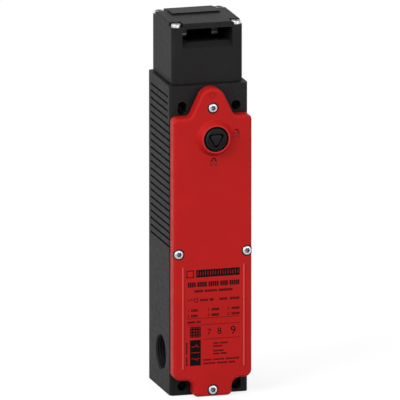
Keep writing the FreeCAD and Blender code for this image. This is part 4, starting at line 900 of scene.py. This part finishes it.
def threadTree():
    tree, start, end = newTree("threadRidge", {
        "Radius": "Float", "Ridge": "Float", "Turns": "Float", "Length": "Float", "Steps": "Int",
        "Place": "Vector", "Turn": "Rotation", "Finish": "Material"})
    spiral = tree.nodes.new("GeometryNodeCurveSpiral")
    outline = tree.nodes.new("GeometryNodeCurvePrimitiveCircle")
    outline.inputs["Resolution"].default_value = glandThread["ridgeSides"]
    sweep = tree.nodes.new("GeometryNodeCurveToMesh")
    sweep.inputs["Fill Caps"].default_value = True
    move = tree.nodes.new("GeometryNodeTransform")
    realize = tree.nodes.new("GeometryNodeRealizeInstances")
    paint = tree.nodes.new("GeometryNodeSetMaterial")
    link = tree.links.new
    link(start.outputs["Steps"], spiral.inputs["Resolution"])
    link(start.outputs["Turns"], spiral.inputs["Rotations"])
    link(start.outputs["Radius"], spiral.inputs["Start Radius"])
    link(start.outputs["Radius"], spiral.inputs["End Radius"])
    link(start.outputs["Length"], spiral.inputs["Height"])
    link(start.outputs["Ridge"], outline.inputs["Radius"])
    link(spiral.outputs[0], sweep.inputs["Curve"])
    link(outline.outputs[0], sweep.inputs["Profile Curve"])
    link(sweep.outputs[0], move.inputs["Geometry"])
    link(start.outputs["Place"], move.inputs["Translation"])
    link(start.outputs["Turn"], move.inputs["Rotation"])
    link(move.outputs[0], realize.inputs[0])
    link(realize.outputs[0], paint.inputs["Geometry"])
    link(start.outputs["Finish"], paint.inputs["Material"])
    link(paint.outputs[0], end.inputs[0])
    return tree


def cutThreads():
    tree = threadTree()
    thread = glandThread
    for name, entry in thread["entries"].items():
        ridge = grown(name, tree, pointsMesh(name, [(0, 0, 0)]), {
            "Radius": thread["radius"] * mm, "Ridge": thread["ridge"] * mm,
            "Turns": entry["length"] / thread["pitch"], "Length": entry["length"] * mm,
            "Steps": thread["stepsPerTurn"], "Place": tuple(c * mm for c in entry["low"]),
            "Turn": tuple(math.radians(a) for a in entry["turn"]), "Finish": finishes["black_casting"]})
        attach(ridge, "housing")


cutThreads()
print("gland threads cut")


# Rating print on the cover, generic throughout, in mm on the cover's face (x, z)

ratingPrint = {
    "proud": 0.03, "sunk": 0.02, "overprint": 0.02,
    "bar": (-9.4, 66.7, 14.8, 70.8),
    "frame": {"box": (-14.6, 66.8, -10.9, 70.5), "line": 0.45},
    "titleWords": [(-14.2, 61.4, -9.6, 64.1), (-8.9, 61.4, -3.4, 64.1), (-2.7, 61.4, 3.2, 64.1),
                   (3.9, 61.4, 8.3, 64.1), (9.0, 61.4, 14.7, 64.1)],
    "words": [
        (-10.5, 58.4, -5.6, 59.7), (-4.8, 58.4, 2.2, 59.7), (3.0, 58.4, 10.8, 59.7),
        (-7.4, 53.4, -2.6, 54.7), (-1.8, 53.4, 0.2, 54.7), (3.4, 53.4, 7.9, 54.7),
        (9.2, 53.4, 14.7, 54.7),
        (-12.3, 47.9, -8.6, 49.2), (-0.9, 47.9, 3.3, 49.2), (10.2, 47.9, 14.8, 49.2),
        (-12.3, 44.9, -8.6, 46.2), (-0.9, 44.9, 3.3, 46.2), (10.2, 44.9, 14.8, 46.2),
        (-14.4, 41.5, -10.0, 42.6), (-9.4, 41.5, -6.9, 42.6)],
    "smallWords": [
        (0.0, 29.3, 3.2, 30.2), (3.9, 29.3, 8.2, 30.2), (0.0, 27.7, 5.1, 28.6),
        (0.0, 25.1, 5.9, 26.0), (0.0, 23.5, 3.4, 24.4), (4.1, 23.5, 7.6, 24.4),
        (-5.6, 20.4, -0.8, 21.3), (0.0, 20.4, 6.2, 21.3), (7.0, 20.4, 14.6, 21.3),
        (-5.6, 18.4, 1.4, 19.3), (2.2, 18.4, 8.0, 19.3), (8.8, 18.4, 12.2, 19.3)],
    "upwardWords": [(-15.1, 18.1, -14.3, 23.7), (-15.1, 24.5, -14.3, 31.9)],
    "rules": [(-14.5, 43.92, 14.7, 44.12), (-14.5, 40.25, 14.7, 40.45), (-5.5, 32.25, 14.7, 32.45)],
    "block": (-12.9, 18.0, -6.9, 32.2),
    "numbers": [
        ("1", -14.3, 47.8, 1.6), ("2", -14.3, 44.8, 1.6), ("3", -3.2, 47.8, 1.6),
        ("4", -3.2, 44.8, 1.6), ("5", 7.9, 47.8, 1.6), ("6", 7.9, 44.8, 1.6),
        ("7", -3.4, 34.7, 3.2), ("8", 2.2, 34.7, 3.6), ("9", 9.6, 34.3, 4.4)],
    "numberSize": {"perHeight": 1.45, "resolution": 4},
    "titleTick": {"wide": 0.84, "pitch": 1.18, "seed": 3},
    "wordTick": {"wide": 0.52, "pitch": 0.74, "seed": 5},
    "smallTick": {"wide": 0.52, "pitch": 0.74, "seed": 7},
    "coil": {"line": 0.3, "strokes": [  # an open contact and a coil before the first row
        [(-14.3, 54.1), (-12.9, 54.1)], [(-12.9, 54.1), (-11.6, 55.2)], [(-11.4, 54.1), (-10.2, 54.1)],
        [(-10.2, 53.1), (-8.6, 53.1), (-8.6, 55.1), (-10.2, 55.1), (-10.2, 53.1)]]},
    "lattice": {"box": (-12.9, 33.5, -6.9, 39.5), "across": 4, "half": 0.3, "line": 0.3},
    "contacts": {"line": 0.28, "strokes": [  # one make and one break contact
        [(-11.9, 28.4), (-10.8, 28.4)], [(-9.0, 28.4), (-7.9, 28.4)], [(-10.8, 28.4), (-8.9, 29.5)],
        [(-11.9, 21.9), (-10.8, 21.9)], [(-9.0, 21.9), (-7.9, 21.9)], [(-10.8, 21.9), (-8.9, 21.2)],
        [(-9.0, 21.9), (-9.0, 20.7)]]},
    "contactRule": {"line": 0.22, "strokes": [[(-12.1, 25.2), (-7.7, 25.2)]]},
    "barTicks": {"count": 17, "inset": 1.0, "short": 1.1, "long": 0.7, "longEvery": 3, "line": 0.24},
}


# a thin closed bar on the cover's face, size (width, height) about middle (x, z), turned by lean
def addBar(form, middle, size, proud, sunk, lean=0.0):
    made = bmesh.ops.create_cube(form, size=1.0)["verts"]
    bmesh.ops.scale(form, verts=made, vec=Vector((size[0], proud + sunk, size[1])) * mm)
    bmesh.ops.transform(form, verts=made, matrix=Matrix.Rotation(-lean, 4, "Y"))
    place = Vector((middle[0], -coverFace - (proud - sunk) / 2, middle[1])) * mm
    bmesh.ops.translate(form, verts=made, vec=place)


def addSlab(form, x0, z0, x1, z1, proud, sunk):
    addBar(form, ((x0 + x1) / 2, (z0 + z1) / 2), (x1 - x0, z1 - z0), proud, sunk)


# a line of even width through points (x, z), as one bar for each run
def addStroke(form, points, width, proud, sunk):
    for (x0, z0), (x1, z1) in zip(points, points[1:]):
        long = math.hypot(x1 - x0, z1 - z0) + width
        lean = math.atan2(z1 - z0, x1 - x0)
        addBar(form, ((x0 + x1) / 2, (z0 + z1) / 2), (long, width), proud, sunk, lean)


def addSketch(form, sketch, proud, sunk):
    for points in sketch["strokes"]:
        addStroke(form, points, sketch["line"], proud, sunk)


def addNumber(form, word, x, z, tall):
    sheet = ratingPrint
    proud, sunk = sheet["proud"], sheet["sunk"]
    data = bpy.data.curves.new("number", "FONT")
    data.body = word
    data.size = tall * sheet["numberSize"]["perHeight"] * mm
    data.extrude = (proud + sunk) / 2 * mm
    data.resolution_u = sheet["numberSize"]["resolution"]
    text = bpy.data.objects.new("number", data)
    scene.collection.objects.link(text)
    graph = bpy.context.evaluated_depsgraph_get()
    flat = bpy.data.meshes.new_from_object(text.evaluated_get(graph))
    bpy.data.objects.remove(text)
    flat.transform(towardsFront)
    flat.transform(Matrix.Translation(Vector((x, -coverFace - (proud - sunk) / 2, z)) * mm))
    form.from_mesh(flat)
    bpy.data.meshes.remove(flat)


# each word is a row of upright ticks, so that the print says nothing
def printTicks(name, words, tick, ink):
    sheet = ratingPrint
    points = []
    for x0, z0, x1, z1 in words:
        count = max(1, round((x1 - x0) / tick["pitch"]))
        step = (x1 - x0) / count
        middle = (z0 + z1) / 2
        points += [((x0 + (place + 0.5) * step) * mm, 0, middle * mm) for place in range(count)]
    tall = words[0][3] - words[0][1]
    form = bmesh.new()
    addBar(form, (0.0, 0.0), (tick["wide"], tall), sheet["proud"], sheet["sunk"])
    ticks = repeated(name, form, points, (0, 1, 0), ink, tick["seed"], 0.0)
    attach(ticks, "housing")


def printBlack():
    sheet = ratingPrint
    proud, sunk, tick = sheet["proud"], sheet["sunk"], sheet["smallTick"]
    black = plainFinish("printInk")
    printTicks("titleTicks", sheet["titleWords"], sheet["titleTick"], black)
    printTicks("wordTicks", sheet["words"], sheet["wordTick"], black)
    printTicks("smallWordTicks", sheet["smallWords"], tick, black)
    ink = bmesh.new()
    for slab in [sheet["bar"], *sheet["rules"], sheet["block"], sheet["lattice"]["box"]]:
        addSlab(ink, *slab, proud, sunk)
    for x0, z0, x1, z1 in sheet["upwardWords"]:
        for place in range(int((z1 - z0) / tick["pitch"])):
            low = z0 + place * tick["pitch"]
            addSlab(ink, x0, low, x1, low + tick["wide"], proud, sunk)
    x0, z0, x1, z1 = sheet["frame"]["box"]
    square = [(x0, z0), (x1, z0), (x1, z1), (x0, z1), (x0, z0)]
    addStroke(ink, square, sheet["frame"]["line"], proud, sunk)
    for word, x, z, tall in sheet["numbers"]:
        addNumber(ink, word, x, z, tall)
    addSketch(ink, sheet["coil"], proud, sunk)
    piece = asObject("ratingPrintInk", ink, black)
    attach(piece, "housing")


# the red lines that stand on the black areas
def printRed():
    sheet = ratingPrint
    high = sheet["proud"] + sheet["overprint"]
    red = bmesh.new()
    lattice = sheet["lattice"]
    x0, z0, x1, z1 = lattice["box"]
    step = (x1 - x0) / lattice["across"]
    half = step * lattice["half"]
    for row in range(lattice["across"]):
        for column in range(lattice["across"]):
            x, z = x0 + (column + 0.5) * step, z0 + (row + 0.5) * step
            diamond = [(x - half, z), (x, z + half), (x + half, z), (x, z - half), (x - half, z)]
            addStroke(red, diamond, lattice["line"], high, 0.0)
    addSketch(red, sheet["contacts"], high, 0.0)
    addSketch(red, sheet["contactRule"], high, 0.0)
    marks = sheet["barTicks"]
    x0, z0, x1, z1 = sheet["bar"]
    step = (x1 - x0 - 2 * marks["inset"]) / (marks["count"] - 1)
    for place in range(marks["count"]):
        x = x0 + marks["inset"] + place * step
        top = z1 - (marks["short"] if place % marks["longEvery"] else marks["long"])
        addStroke(red, [(x, z0 + marks["short"]), (x, top)], marks["line"], high, 0.0)
    piece = asObject("ratingPrintRed", red, finishes["red_cover"])
    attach(piece, "housing")


printBlack()
printRed()
print("rating print laid")


# Padlock symbols beside and below the key release, painted a darker red as the shade of their relief,
# and a ring, moulded into the cover, in mm

lockSymbols = {
    "proud": 0.16, "sunk": 0.03, "line": 0.42, "body": (2.9, 2.2), "keyhole": (0.8, 1.4),
    "shackle": 0.95, "arcStep": 15,
    "locks": [
        {"place": (12.95, 145.05), "lift": 0.9, "arcEnd": 150, "shut": False},
        {"place": (0.3, 130.5), "lift": 0.35, "arcEnd": 180, "shut": True},
    ],
}
mouldRing = {
    "centre": (-0.4, 166.5), "radius": 1.5, "line": 0.3, "proud": 0.06, "sunk": 0.03, "arcStep": 20,
}


def arcPoints(x, z, radius, last, step):
    turns = [math.radians(degrees) for degrees in range(0, last + 1, step)]
    return [(x + radius * math.cos(turn), z + radius * math.sin(turn)) for turn in turns]


def addPadlock(form, lock):
    symbol = lockSymbols
    x, z = lock["place"]
    wide, tall = symbol["body"]
    left, right, low, radius = x - wide / 2, x + wide / 2, z - tall, symbol["shackle"]
    shackle = [(x + radius, z)]
    shackle += arcPoints(x, z + lock["lift"], radius, lock["arcEnd"], symbol["arcStep"])
    if lock["shut"]:
        shackle.append((x - radius, z))
    body = [(left, z), (right, z), (right, low), (left, low), (left, z)]
    keyhole = [(x, z - drop) for drop in symbol["keyhole"]]
    for points in (body, keyhole, shackle):
        addStroke(form, points, symbol["line"], symbol["proud"], symbol["sunk"])


def mouldSymbols():
    marks, circle = bmesh.new(), bmesh.new()
    for lock in lockSymbols["locks"]:
        addPadlock(marks, lock)
    ring = mouldRing
    outline = arcPoints(*ring["centre"], ring["radius"], 360, ring["arcStep"])
    addStroke(circle, outline, ring["line"], ring["proud"], ring["sunk"])
    # the symbols get the darker red painted as shade
    markRed, coverRed = plainFinish("markRedPaintedShade"), finishes["red_cover"]
    for name, form, finish in (("lockSymbols", marks, markRed), ("mouldRing", circle, coverRed)):
        piece = asObject(name, form, finish)
        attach(piece, "housing")


mouldSymbols()
print("lock symbols moulded")
